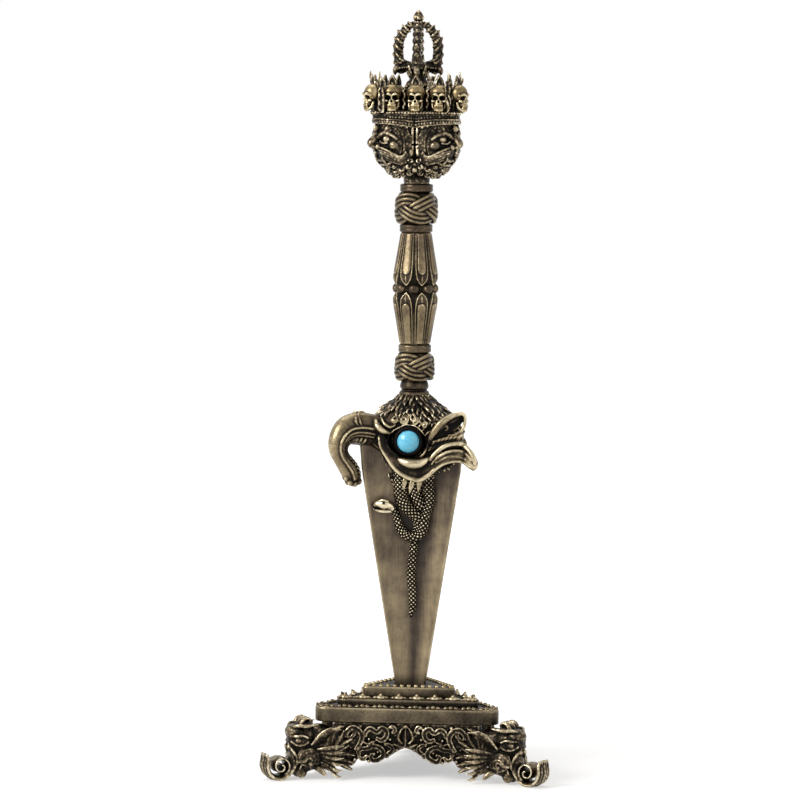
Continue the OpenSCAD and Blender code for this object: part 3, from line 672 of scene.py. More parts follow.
@dataclass(frozen=True)
class Turquoise(Finish):
    """Turquoise: cut as a round cabochon and waxed.

    The eye gets an even sky blue with faint paler clouds, a hair-thin brown vein or two, a darker rim
    where wax and dirt gather at the bezel and the bezel's lip casts painted shade, and one soft highlight
    from the polish.
    """

    def material(self) -> bpy.types.Material:
        """Builds the material."""
        mat, net, place = self.start()
        rim = net.add("Attribute", attribute_name="wear_and_light").outputs["Fac"]
        cloud = net.noise(place, 2.4, 3.0, 0.55)
        vein = net.noise(place, 1.9, 6.0, 0.6)
        body = net.ramp(net.sum("ADD", cloud, net.sum("MULTIPLY", rim, 0.5)), (0.3, "#3ea6d0"),
            (0.75, "#5ac3ea"), (1.0, "#70d1f0"))
        line = net.level(net.sum("ABSOLUTE", net.sum("SUBTRACT", vein, 0.5), 0.0), 0.0, 0.006, 0.55, 0.0)
        veined = net.add("Mix", data_type="RGBA", i0=line, i6=body, i7=linear("#3c3a2c")).outputs[2]
        # The darker rim: painted shade under the bezel's lip, with wax and dirt.
        edge = net.level(rim, 0.25, 0.55, 0.8, 0.0)
        colour = net.add("Mix", data_type="RGBA", i0=edge, i6=veined, i7=linear("#1f3a45")).outputs[2]
        shader = net.add("BsdfPrincipled", Base_Color=colour,
            Roughness=net.level(cloud, 0.3, 0.7, 0.16, 0.24), IOR=1.61)
        net.add("OutputMaterial", Surface=shader.outputs["BSDF"])
        return mat


@dataclass(frozen=True)
class ZincSteel(Finish):
    """Zinc-plated steel: drawn rod and small screws, dull from storage.

    The eye gets a cool grey metal, slightly cloudy, with the fine rings that turning leaves.
    """

    def material(self) -> bpy.types.Material:
        """Builds the material."""
        mat, net, place = self.start()
        cloud = net.noise(place, 2.0, 3.0, 0.6)
        rings = net.noise(net.add("Mapping", Vector=place, Scale=(0.1, 0.1, 1)).outputs["Vector"], 0.3, 2.0)
        colour = net.ramp(cloud, (0.3, "#7d7f80"), (0.7, "#a3a5a4"))
        bump = net.add("Bump", Strength=0.15, Distance=0.00005, Height=rings)
        net.metal(colour, 1.0, net.level(cloud, 0.3, 0.7, 0.32, 0.45), bump)
        return mat


@dataclass
class Workshop:
    """The finishes, and how a finished piece is handed to the frame."""

    def __post_init__(self) -> None:
        """Builds every material once."""
        self.cast = CastBrass("antique_brass_cast").material()
        self.carved = CastBrass("antique_brass_chased", shift=-0.01).material()
        self.dense = CastBrass("antique_brass_densely_chased", low="#1b1711", open="#4c4235",
            rubbed="#96876c", bright="#d8ccb0", shift=0.02, chase=0.12).material()
        self.black = CastBrass("antique_brass_blackened", low="#15110d", open="#2d261e", rubbed="#86775f",
            bright="#d2c6a8", shift=-0.03, chase=0.1).material()
        self.gilt = CastBrass("antique_brass_rubbed", open="#584b35", rubbed="#95835f",
            shift=0.02).material()
        self.satin = CastBrass("antique_brass_satin", low="#2a241c", open="#51483a", rubbed="#7d705a",
            bright="#b5a788").material()
        self.ground = BladeBrass("blade_brass_satin").material()
        self.stone = Turquoise("turquoise_cabochon").material()
        self.steel = ZincSteel("zinc_plated_steel").material()

    def hand_over(self, piece: bpy.types.Object, finish: bpy.types.Material, *nodes: str,
            body: Body = Body.PHURBA, slot: Slot = Slot.BRASS) -> None:
        """Dresses a piece and hangs it on its body.

        Args:
            piece: The finished mesh.
            finish: Its material.
            *nodes: CAD nodes that it stands for.
            body: The body that it moves with.
            slot: The record's slot of its finish; not used.
        """
        piece.data.materials.clear()
        piece.data.materials.append(finish)
        piece.data.shade_smooth()
        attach(piece, body.value)
        if nodes:
            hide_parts(*nodes)
        log.info("%s: %d faces, for %s", piece.name, len(piece.data.polygons),
            ", ".join(nodes) or "its neighbours")


@dataclass
class Studio:
    """Pale floor, white surroundings, soft lamps and the camera at the photograph's viewing angle.

    Distances in millimetres. The world is white to the camera and in reflections, and a soft fill to the
    rest.
    """

    distance: float = 1250.0
    azimuth: float = 4.5
    eye_height: float = 225.0
    lens_px: float = 3828.0
    frame_px: float = 800.0
    horizon_row: float = 86.1
    axis_column: float = 414.2
    lean: float = 0.65
    key: float = 9.0
    fill: float = 0.26

    def build(self) -> None:
        """Makes the world, the floor, the lamps and the camera."""
        scene = bpy.context.scene
        scene.view_settings.view_transform = "Standard"
        self.world(scene)
        self.floor()
        self.lamp("key_left", (-760, -620, 620), 520, self.key)
        self.lamp("fill_right", (900, -700, 500), 700, self.key * 0.16)
        self.lamp("top", (-120, 260, 980), 700, self.key * 0.35)
        self.camera(scene)

    def seen(self, net: Net) -> bpy.types.NodeSocket:
        """1 for camera, glossy and transmission rays."""
        path = net.add("LightPath")
        first = net.sum("MAXIMUM", path.outputs["Is Camera Ray"], path.outputs["Is Glossy Ray"])
        return net.sum("MAXIMUM", first, path.outputs["Is Transmission Ray"])

    def world(self, scene: bpy.types.Scene) -> None:
        """White surroundings."""
        scene.world = bpy.data.worlds.new("studio")
        scene.world.use_nodes = True
        net = Net(scene.world.node_tree)
        soft = net.add("Background", Color=(1, 1, 1, 1), Strength=self.fill)
        white = net.add("Background", Color=(1, 1, 1, 1), Strength=1.0)
        both = net.add("MixShader", i0=self.seen(net), i1=soft.outputs[0], i2=white.outputs[0])
        net.add("OutputWorld", Surface=both.outputs[0])

    def floor(self) -> None:
        """A plain pale floor that keeps the shadow."""
        bm = bmesh.new()
        bmesh.ops.create_circle(bm, cap_ends=True, segments=96, radius=2600)
        floor = as_piece("floor", bm)
        mat = bpy.data.materials.new("pale_floor")
        mat.use_nodes = True
        net = Net(mat.node_tree)
        place = net.add("TexCoord").outputs["Object"]
        away = net.add("VectorMath", operation="LENGTH", i0=place).outputs["Value"]
        matt = net.add("BsdfDiffuse", Color=linear("#dcdbd8"))
        glow = net.add("Emission", Color=(1, 1, 1, 1), Strength=net.level(away, 0.06, 0.5, 0.5, 1.0))
        dark = net.add("Emission", Color=(0, 0, 0, 1), Strength=0.0)
        shown = net.add("MixShader", i0=self.seen(net), i1=dark.outputs[0], i2=glow.outputs[0])
        both = net.add("AddShader", i0=matt.outputs[0], i1=shown.outputs[0])
        net.add("OutputMaterial", Surface=both.outputs[0])
        floor.data.materials.append(mat)

    def lamp(self, name: str, at: Point, size: float, power: float) -> None:
        """A soft square lamp aimed at the middle of the object.

        Args:
            name: Its name.
            at: Its place in millimetres.
            size: Its side in millimetres.
            power: Its power in watts.
        """
        data = bpy.data.lights.new(name, "AREA")
        data.shape = "SQUARE"
        data.size = size * MM
        data.energy = power
        lamp = bpy.data.objects.new(name, data)
        bpy.context.scene.collection.objects.link(lamp)
        place = Vector(at) * MM
        lamp.location = place
        lamp.rotation_mode = "QUATERNION"
        lamp.rotation_quaternion = (AIM - place).to_track_quat("-Z", "Y")

    def camera(self, scene: bpy.types.Scene) -> None:
        """The camera: it looks slightly down from the height of the three faces."""
        data = bpy.data.cameras.new("camera")
        data.sensor_width = 36.0
        data.lens = self.lens_px * 36.0 / self.frame_px
        data.clip_start, data.clip_end = 0.05, 20.0
        camera = bpy.data.objects.new("camera", data)
        scene.collection.objects.link(camera)
        a = math.radians(self.azimuth)
        place = (self.distance * math.sin(a), -self.distance * math.cos(a), self.eye_height)
        camera.location = Vector(place) * MM
        half = self.frame_px / 2
        pitch = math.atan((half - self.horizon_row) / self.lens_px)
        aside = math.atan((self.axis_column - half) / self.lens_px)
        turned = Matrix.Rotation(a + aside, 3, "Z") @ Matrix.Rotation(math.pi / 2 - pitch, 3, "X")
        camera.rotation_mode = "QUATERNION"
        turned = turned @ Matrix.Rotation(math.radians(self.lean), 3, "Z")
        camera.rotation_quaternion = turned.to_quaternion()
        scene.camera = camera


# Blade and snakes


@dataclass
class Blade:
    """The three-edged blade. Sizes in millimetres."""

    tip: float = 8.0
    deck: float = 29.0
    mouth: float = 100.0
    seat_r: float = 5.5
    mouth_r: float = 18.4
    edge: float = 1.1
    hollow: float = 0.74

    def radius(self, z: float) -> float:
        """Distance from the axis to a cutting edge at that height."""
        if z <= self.deck:
            return self.seat_r * (max(z - self.tip, 0.05) / (self.deck - self.tip)) ** 0.62
        wider = (self.mouth_r - self.seat_r) * (z - self.deck) / (self.mouth - self.deck)
        return self.seat_r + wider - 0.09 * max(z - self.mouth, 0)

    def side(self, r: float) -> tuple[float, float, float]:
        """Half width of a face, and distances from the axis to its rims and middle, at edge radius r."""
        e = min(self.edge, 0.5 * r)
        rim = r / 2 + 0.5 * COS30 * e
        return COS30 * r - 0.25 * e, rim, self.hollow * rim

    def depth(self, x: float, z: float) -> float:
        """Distance from the axis to a face, x to the side of its middle."""
        half, rim, middle = self.side(self.radius(z))
        return middle + (rim - middle) * min(abs(x) / half, 1) ** 2

    def section(self, r: float) -> Array:
        """The outline at edge radius r, three hollow faces and three narrow flats."""
        half, rim, middle = self.side(r)
        points = []
        for side in (270, 390, 510):
            a = math.radians(side)
            for s in np.sin(np.linspace(-math.pi / 2, math.pi / 2, 27)):
                d, u = middle + (rim - middle) * s * s, half * s
                points.append((d * math.cos(a) - u * math.sin(a), d * math.sin(a) + u * math.cos(a)))
            points.append(tuple(polar(r + 0.02, side + 60)[:2]))
        return np.array(points)

    def build(self, shop: Workshop) -> None:
        """Lofts the blade from its point up into the animal's mouth."""
        levels = [self.tip + z for z in (0, 0.15, 0.4, 0.8, 1.4, 2.2, 3.2, 4.6, 6.4, 8.6, 11, 14, 17.5)]
        levels += list(np.arange(self.deck, self.mouth + 8, 1.5)) + [self.mouth + 8.2]
        rings = []
        inside = [(self.mouth + 9.2, 16.5), (self.mouth + 12.5, 9.0)]
        for z, r in [(z, self.radius(z)) for z in levels] + inside:
            flat = self.section(r)
            rings.append(np.column_stack([flat, np.full(len(flat), z)]))
        piece = as_piece("blade_ground", skin(np.array(rings)))
        at = Skin(piece)
        angle = np.degrees(np.arctan2(at.at[:, 1], at.at[:, 0]))
        radius = np.hypot(at.at[:, 0], at.at[:, 1])
        reach = np.array([max(self.radius(z), 0.5) for z in at.at[:, 2]])
        to_middle = np.radians(np.mod(angle - 90, 120) - 60)
        aside = radius * np.sin(to_middle) / (COS30 * reach)
        across = np.abs(aside)
        z = at.at[:, 2]
        # Lighter towards the cutting edges and on their narrow flats: rubbed brass, with painted highlight
        # on it.
        tone = 0.5 + 0.06 * across + 0.3 * np.clip(across - 0.93, 0, 0.07) / 0.07
        # Painted shade of the hollow face, with some patina left in the hollow: a dark band a little right
        # of the middle, weaker towards the mouth.
        tone -= 0.3 * bell(aside - 0.2 - 0.002 * (z - 60), 0.22) * np.clip((96 - z) / 20, 0.4, 1)
        # Painted highlights: a broad one on the left half, which faces the key lamp, and a narrow one near
        # the right edge.
        tone += 0.07 * bell(aside + 0.45, 0.3) + 0.12 * bell(aside - 0.7, 0.16)
        # Painted shadow of the snakes round their crossing near 84 mm, strongest a little left of the
        # middle.
        tone -= 0.16 * bell(z - 84, 11) * np.clip(1.1 - across, 0, 1)
        tone -= 0.28 * np.exp(-(((z - 84) / 6) ** 2 + ((aside + 0.1) / 0.26) ** 2))
        # Painted shade under the animal's jaw, darker towards the mouth and on the right, weaker on the far
        # left.
        mouth = 0.3 * np.clip((z - 91) / 9, 0, 1) * np.clip(0.3 + across + 0.5 * (aside > 0), 0, 1)
        tone -= mouth * np.where(aside < -0.3, 0.35, 1)
        # Painted shade: darker upwards from 70 mm, more on the right half, away from the key lamp.
        tone -= 0.12 * np.clip((z - 70) / 14, 0, 1) * np.where(aside > 0, 1.3, 0.5)
        # Painted shadow of the snake's head on the left half, round 76 mm.
        tone -= 0.1 * bell(z - 76, 12) * (aside < 0)
        at.store("wear_and_light", np.clip(tone, 0, 1))
        shop.hand_over(piece, shop.ground, "blade", slot=Slot.BLADE)


@dataclass
class Snakes:
    """A snake on each face: two lengths leave the mouth, cross and tie, and the tail hangs down the blade.

    x to the right of the face's middle, z up, and radius, in millimetres.
    """

    blade: Blade
    scale_pitch: float = 1.42
    scale_rise: float = 0.5
    step: float = 0.16

    left: tuple = ((-3.7, 100, 2, 0.5), (-3.6, 97.5, 2.1, 0.5), (-3.45, 94, 2.15, 0.5),
        (-3.1, 91.1, 2.2, 0.6), (-2, 88.9, 2.1, 0.8), (-0.2, 87, 2, 0.9), (1.7, 85.3, 1.9, 0.9),
        (2.6, 83.4, 1.8, 0.7), (2.4, 81.3, 1.6, 0.4), (1.7, 79.2, 1.4, 0.2), (1.1, 76.8, 1.25, 0.4),
        (0.8, 74.6, 1.25, 0.6), (0.6, 72, 1.3, 0.6), (0.4, 69.8, 1.35, 0.6), (0.1, 67, 1.35, 0.6),
        (0.2, 63.8, 1.3, 0.6), (0.5, 60.5, 1.2, 0.6), (0.7, 56.8, 1.1, 0.6), (0.5, 54.2, 0.9, 0.6),
        (-0.1, 51.4, 0.4, 0.5))
    right: tuple = ((5.8, 98.5, 1.55, 0.4), (5.9, 95, 1.6, 0.5), (6.1, 91.5, 1.6, 0.6),
        (5.7, 88.9, 1.55, 0.7), (4.9, 86.4, 1.55, 0.9), (4.4, 84.2, 1.55, 1.3), (4.2, 82.1, 1.55, 1.4),
        (3.5, 80, 1.5, 1.4), (1.9, 78.5, 1.5, 1.5), (-0.2, 78.3, 1.5, 1.3), (-2.1, 79.2, 1.45, 0.9),
        (-3.5, 81, 1.35, 0.7), (-4.2, 83.2, 1.25, 0.7), (-4.8, 85.2, 1.15, 0.7), (-5.4, 86.8, 1.1, 0.9),
        (-6.6, 88, 1.1, 1.1), (-8.2, 88.5, 1, 1.1))
    middle: tuple = ((0.4, 97, 1.7, 0.2), (0.9, 94, 1.9, 0.3), (1.7, 91.6, 2, 0.4), (2.6, 89.4, 2, 0.4),
        (3.1, 87, 1.8, 0.1), (3.3, 84.6, 1.4, -0.4))

    def line(self, points: Sequence[Point]) -> tuple[Array, Array]:
        """The middle line of a length and its radii, evenly spaced.

        Args:
            points: Rows of x, z, radius and lift above the face in radii.

        Returns:
            The points and the radii.
        """
        rows = spline(points, 14)
        path = np.array([(x, -self.blade.depth(x, z) - lift * r, z) for x, z, r, lift in rows])
        steps = np.linalg.norm(np.diff(path, axis=0), axis=1)
        length = np.concatenate([[0], np.cumsum(steps)])
        even = np.arange(0, length[-1], self.step)
        places = [np.interp(even, length, path[:, k]) for k in range(3)]
        return np.column_stack(places), np.interp(even, length, rows[:, 2])

    def strand(self, clay: Clay, points: Sequence[Point]) -> None:
        """Adds one scaly length."""
        path, radius = self.line(points)
        around = 48
        rings = ringed(path, radius, radius, FRONT, around)
        turned = np.linspace(0, math.tau, around, endpoint=False)
        from_front = np.mod(turned + math.pi / 2, math.tau) - math.pi
        across = radius[:, None] * from_front[None] * math.pi / self.scale_pitch
        along = math.pi * self.step * np.arange(len(path))[:, None] / self.scale_pitch
        scales = np.abs(np.sin(along + across) * np.sin(along - across)) ** 0.8
        grow = 1 + self.scale_rise * (scales - 0.45)[..., None] / np.maximum(radius, 0.8)[:, None, None]
        clay.add(skin(path[:, None] + (rings - path[:, None]) * grow))

    def head(self, clay: Clay) -> None:
        """Adds the flat head with lips, eyes and nostril bumps."""
        d = self.blade.depth(-10, 88) + 1.5
        clay.bar([(-5.6, -d, 87.2, 1.0, 1.0), (-7.0, -d, 88.3, 1.5, 1.5), (-8.6, -d - 0.1, 88.9, 1.8, 1.7),
            (-10.3, -d, 89.0, 1.5, 1.4), (-11.6, -d + 0.2, 88.6, 1.0, 1.0),
            (-12.4, -d + 0.4, 88.3, 0.5, 0.5)], FRONT, 4, 20)
        clay.bar([(-6.4, -d, 86.9, 0.8, 0.7), (-8.4, -d - 0.1, 86.7, 0.75, 0.8),
            (-10.4, -d, 86.9, 0.6, 0.6), (-12.2, -d + 0.4, 87.4, 0.35, 0.35)], FRONT, 4, 12)
        clay.bar([(-7.2, -d - 1.4, 90.0, 0.3, 0.3), (-8.8, -d - 1.6, 90.5, 0.42, 0.4),
            (-10.3, -d - 1.2, 90.1, 0.35, 0.3), (-11.7, -d - 0.5, 89.3, 0.25, 0.25)], FRONT, 4, 8)
        clay.ball((-8.7, -d - 1.55, 89.5), 0.42, 12)
        clay.ball((-11.6, -d - 0.5, 88.9), 0.3, 10)

    def build(self, shop: Workshop) -> None:
        """Casts the front snake and its two copies."""
        head = Clay()
        self.head(head)
        clay = Clay()
        for points in (self.left, self.right, self.middle):
            self.strand(clay, points)
        clay.add(head.mesh())
        front = as_piece("snake_front_cast", clay.bm)
        worked = Skin(front)
        worked.weather(4, 24, (3.4, 0.7))
        best = np.full(len(worked.at), 9.0)
        for points in (self.left, self.right, self.middle):
            path, radius = self.line(points)
            far, share = worked.near(path)
            thick = radius[np.round(share * (len(path) - 1)).astype(int)]
            closer = far / thick < best
            best = np.where(closer, far / thick, best)
            scale = (far - thick) / self.scale_rise * np.maximum(thick, 0.8) / thick + 0.45
            worked.wear_and_light = np.where(closer & (far < thick + 0.6) & (worked.at[:, 0] > -6.4),
                0.12 + 0.98 * np.clip(scale, 0, 1) ** 1.3, worked.wear_and_light)
        d = self.blade.depth(-10, 88) + 1.5
        worked.tint(spline(((-7.0, -d, 88.6), (-12.4, -d, 88.5)), 10), 2.2, -0.2)
        worked.tint(spline(((-7.6, -d - 1.0, 87.6), (-9.6, -d - 1.0, 87.6), (-12.6, -d, 88.0)),
            10), 0.55, -0.6)
        worked.tint(spline(((-8.65, -d - 1.7, 89.5), (-8.75, -d - 1.7, 89.5)), 3), 0.6, -0.6)
        worked.write_wear_and_light()
        back = across_plane(TRUNK_CORNER)
        for node, matrix in (("snake_back_right", turn(120)), ("snake_back_left", back)):
            shop.hand_over(twin(node + "_cast", front.data, matrix), shop.black, node)
        shop.hand_over(front, shop.black, "snake_front")


# Turned pieces, knots and lotus grip


@dataclass
class Grip:
    """Collar, knots, rings and lotus grip, strung on the rod. Heights in millimetres."""

    collar_z: float = 124.0
    lower_knot_z: float = 128.9
    lower_ring_z: float = 138.2
    grip_z: float = 140.9
    upper_ring_z: float = 177.5
    upper_knot_z: float = 180.2
    neck_ring_z: float = 190.6
    petals: int = 8

    def lathe(self, name: str, node: str, profile: Sequence[Point], shop: Workshop) -> None:
        """Turns one piece from a smooth profile of radius and height."""
        rows = [tuple(p) for p in spline(profile, 5)]
        piece = as_piece(name, spun(rows, 120))
        at = Skin(piece)
        out = np.hypot(at.at[:, 0], at.at[:, 1])
        at.store("wear_and_light", np.clip((0.44 if node == "collar" else 0.32) + 0.22 * (out - 4.3), 0, 0.62))
        shop.hand_over(piece, shop.cast, node)

    def rings(self, shop: Workshop) -> None:
        """Turns the collar and the three plain rings."""
        z = self.collar_z
        self.lathe("collar_turned", "collar", [(4.6, z), (4.9, z + 0.3), (4.9, z + 1.2), (4.35, z + 1.7),
            (4.2, z + 2.1), (4.6, z + 2.6), (4.7, z + 3.3), (4.5, z + 4.2), (4.2, z + 4.9)], shop)
        places = (("lower_ring", self.lower_ring_z), ("upper_ring", self.upper_ring_z),
            ("neck_ring", self.neck_ring_z))
        for node, z in places:
            self.lathe(node + "_turned", node, [(4.6, z), (5.15, z + 0.15), (5.38, z + 0.6),
                (5.32, z + 1.35), (5.38, z + 2.1), (5.15, z + 2.55), (4.6, z + 2.7)], shop)

    def knot(self, name: str, node: str, z: float, height: float, radius: float, shop: Workshop) -> None:
        """Casts a knot: three rounds of triple cord that pass over and under round a barrel.

        Args:
            name: Name of the piece.
            node: CAD node that it stands for.
            z: Its lower end.
            height: Its height.
            radius: Its greatest radius.
            shop: The finishes.
        """
        clay = Clay()
        core = [(4.3, z), (radius - 1.6, z + 0.16 * height), (radius - 1.1, z + height / 2)]
        core += [(radius - 1.6, z + 0.84 * height), (4.3, z + height)]
        clay.turned([tuple(p) for p in spline(core, 4)], 40)
        rounds, bights = 3, 4
        t = np.linspace(0, math.tau * rounds, 260)
        wave = bights / rounds * t
        rise = 0.5 * height - 2.1
        for off in (-1.4, 0, 1.4):
            slope = np.arctan(rise * bights / rounds * np.cos(wave) / radius)
            up = rise * np.sin(wave) + off * np.cos(slope)
            share = np.clip(np.abs(up) / (0.5 * height), 0, 1)
            barrel = 4.6 + (radius - 0.75 - 4.6) * np.sqrt(1 - share**2.4)
            r = barrel + 0.45 * np.sin(2 * wave) - 0.06 * abs(off)
            angle = t - off * np.sin(slope) / radius
            path = np.column_stack([r * np.cos(angle), r * np.sin(angle), z + height / 2 + up])
            clay.bar(np.insert(path, [3, 3], 0.72, axis=1), UP, 0, 9)
        piece = clay.cast(name, 0.19)
        Skin(piece).weather(4, 26, (3.8, 1))
        shop.hand_over(piece, shop.carved, node)

    def lotus(self, shop: Workshop) -> None:
        """Shapes the grip: eight petals up, eight down, pearls round the waist."""
        around, along, length = 320, 190, self.upper_ring_z - self.grip_z
        s = np.linspace(0, 1, along)[:, None]
        a = np.linspace(0, 360, around, endpoint=False)[None]
        t = np.abs(s - 0.5) / 0.5
        envelope = np.interp(t, [0, 0.06, 0.17, 0.24, 0.4, 0.6, 0.8, 1],
            [5.9, 6.5, 7.15, 7.1, 6.6, 5.95, 5.35, 4.75])
        period = 360 / self.petals
        phase = np.mod(a - 270 + period, period) - period / 2
        x = np.radians(np.abs(phase)) * envelope
        half = math.radians(period / 2) * envelope
        wide = half * 0.9 * (1 - np.exp(-np.clip(t - 0.05, 0, 1) / 0.085))
        panel = half * 0.52 * np.sqrt(np.clip(1 - np.clip((0.36 - t) / 0.1, 0, 1) ** 2, 0, 1))

        def inside(edge: Array, soft: float) -> Array:
            """1 inside an edge, 0 outside, over a soft step."""
            return 1 / (1 + np.exp(-(edge - x) / soft))

        height = -0.6 + 0.5 * inside(wide, 0.13)
        height += 0.34 * bell(x - wide + 0.34, 0.27) * (t > 0.05)
        height += 0.5 * inside(panel, 0.12) * (panel > 0) - 0.16 * bell(x - panel - 0.26, 0.2) * (t > 0.3)
        height += 0.42 * bell(half - x, 0.27) * np.clip((t - 0.3) / 0.15, 0, 1)
        height += 0.35 * bell(x, 0.35) * bell(t - 0.17, 0.08)
        radius = envelope + height * np.clip((1 - t) / 0.03, 0, 1)
        for k in range(self.petals):
            ball = 1.7
            gap = np.radians(np.mod(a - 270 - k * period + 180, 360) - 180) * 6.4
            far = np.sqrt(gap**2 + ((s - 0.5) * length) ** 2)
            radius = np.where(far < ball,
                np.maximum(radius, 6.0 + np.sqrt(np.clip(ball**2 - far**2, 0, None)) * 0.9), radius)
        z = self.grip_z + s * length + 0 * a
        rings = np.stack([radius * np.cos(np.radians(a)), radius * np.sin(np.radians(a)), z], axis=-1)
        piece = as_piece("lotus_grip_cast", skin(rings))
        worked = Skin(piece)
        worked.weather(8, 44, (2.6, 0.6))
        tone = np.zeros(len(worked.at))
        tone[: height.size] = np.broadcast_to(height, radius.shape).ravel()
        worked.wear_and_light = 0.52 + 0.24 * tone + 0.45 * (worked.wear_and_light - 0.5)
        waist = bell(worked.at[:, 2] - (self.grip_z + self.upper_ring_z) / 2, 1.6)
        worked.wear_and_light = np.maximum(worked.wear_and_light, 0.38) + 0.06 * waist
        worked.write_wear_and_light()
        shop.hand_over(piece, shop.cast, "lotus_grip")

    def build(self, shop: Workshop) -> None:
        """Builds everything between the animal head and the three faces."""
        self.rings(shop)
        self.knot("lower_knot_cast", "lower_knot", self.lower_knot_z, 9.3, 6.5, shop)
        self.knot("upper_knot_cast", "upper_knot", self.upper_knot_z, 10.4, 7.0, shop)
        self.lotus(shop)


# Animal head


@dataclass
class MakaraHead:
    """The makara that holds the blade in its mouth: half elephant, half sea beast. In millimetres.

    The front cheek is modelled with x to the right and z up, as it is seen from the front, and is then
    mirrored about the upright plane through the trunk.
    """

    blade: Blade
    mouth: float = 100.0
    eye: tuple[float, float] = (-0.8, 110)
    seat: float = 10.6
    stone: float = 4.0
    seed: int = 7

    levels: tuple = ((0, 10.7, 20.2, 1), (3, 11.3, 20.6, 0.8), (8, 11.5, 20.2, 0.3), (13, 11, 17.2, 0),
        (17, 9.9, 13.2, 0), (20.4, 7.3, 9, 0), (22.6, 5.1, 5.5, 0), (23.8, 4.5, 4.6, 0))
    jaw: tuple = ((0, 9.4), (15, 8.6), (24, 5.6), (34, 1.9), (48, 0), (62, -1.2), (86, 0.2), (100, 3),
        (110, 3.8), (120, 3.6), (150, 1.2), (180, 0.6))

    def jaw_rise(self, angle: Array | float) -> Array | float:
        """Height of the jaw's edge above the mouth in that direction."""
        off = np.abs(np.mod(np.asarray(angle, dtype=float) - TRUNK_CORNER + 180, 360) - 180)
        return np.interp(off, [row[0] for row in self.jaw], [row[1] for row in self.jaw])

    def core_radius(self, angle: float, z: float) -> float:
        """Distance from the axis to the bare head in that direction."""
        rise = float(self.jaw_rise(angle))
        heights = [level[0] + level[3] * rise + self.mouth for level in self.levels]
        a = float(np.interp(z, heights, [level[1] for level in self.levels]))
        rc = float(np.interp(z, heights, [level[2] for level in self.levels]))
        return float(three_sided(a, rc, angle, 12))

    def on(self, x: float, z: float, lift: float = 0.0) -> Array:
        """The spot of the front cheek at x and z, lifted off the bare head.

        Args:
            x: To the right of the blade's middle.
            z: Height.
            lift: Distance off the surface.

        Returns:
            The point.
        """
        best = min((abs(self.core_radius(a, z) * math.cos(math.radians(a)) - x), a)
            for a in np.arange(206, 334.1, 1))[1]
        out = -self.core_radius(best, z) * math.sin(math.radians(best))
        edge = self.core_radius(330, z) * COS30
        if x > edge:
            out = TAN30 * x
        return np.array([x, -out - lift, z])

    def ridge(self, clay: Clay, points: Sequence[Point], around: int = 10) -> None:
        """Lays a bar on the front cheek.

        Args:
            clay: The pile.
            points: Rows of x, z, half width on the surface, half height off it, and the lift of the middle.
            around: Points round the bar.
        """
        rows = [(*self.on(x, z, lift), w, h) for x, z, w, h, lift in spline(points, 5)]
        clay.bar(rows, FRONT, 0, around)

    def curl(self, clay: Clay, x: float, z: float, radius: float, turns: float, wire: float,
            start: float) -> None:
        """Lays a spiral curl of hair on the front cheek."""
        rows = []
        for k in range(int(14 * turns) + 1):
            a = math.radians(start) + math.tau * k / 14
            r = radius * (1 - 0.8 * k / (14 * turns))
            rows.append((*self.on(x + r * math.cos(a), z + r * math.sin(a),
                1.3 + 0.5 * k / (14 * turns)), wire, wire))
        clay.bar(rows, FRONT, 0, 8)

    def core(self) -> bmesh.types.BMesh:
        """The bare head, whose lower edge follows the jaw."""
        angles = np.arange(0, 360, 4)
        rise = self.jaw_rise(angles)
        rings = []
        for h, a, rc, share in spline(self.levels, 3):
            r = three_sided(a, rc, angles, 12)
            z = self.mouth + h + share * rise
            rings.append(ring_at(r, angles, z))
        return skin(np.array(rings))

    trunk_rows: tuple = ((10, 111.8, 5.4, 5.2), (15, 113, 5.3, 4.9), (20, 113.9, 5.2, 4.4),
        (24.2, 113.3, 4.6, 3.9), (26.9, 110.3, 3.5, 3.4), (27.4, 107.2, 2.9, 3), (26.4, 104.6, 2.6, 2.6),
        (24.6, 102.2, 2.9, 2.6), (22.9, 99.8, 3.1, 2.5), (21.9, 97.4, 2.4, 2), (21.3, 96, 1.3, 1.2))

    def trunk_lines(self) -> tuple[Array, Array, Array]:
        """The middle line of the trunk in its own plane, its normals and its half sizes."""
        rows = spline(self.trunk_rows, 12)
        path = np.column_stack([rows[:, 0], np.zeros(len(rows)), rows[:, 1]])
        return path, carried(path, UP)[0], rows[:, 2:]

    def trunk(self, clay: Clay) -> None:
        """Adds the trunk: smooth outside, chased lines on its sides, beaded ribs inside, a lobed tip."""
        own = Clay()
        path, normals, half = self.trunk_lines()
        own.add(skin(ringed(path, half[:, 1], half[:, 0], UP, 28)))

        def spot(k: int, q: float, side: int, lift: float) -> Array:
            """A spot on the trunk's flank, q from the inside at -1 to the outside at 1."""
            flank = half[k, 1] * math.sqrt(max(1 - q * q, 0)) + lift
            return path[k] + normals[k] * q * half[k, 0] + np.array([0, side * flank, 0])

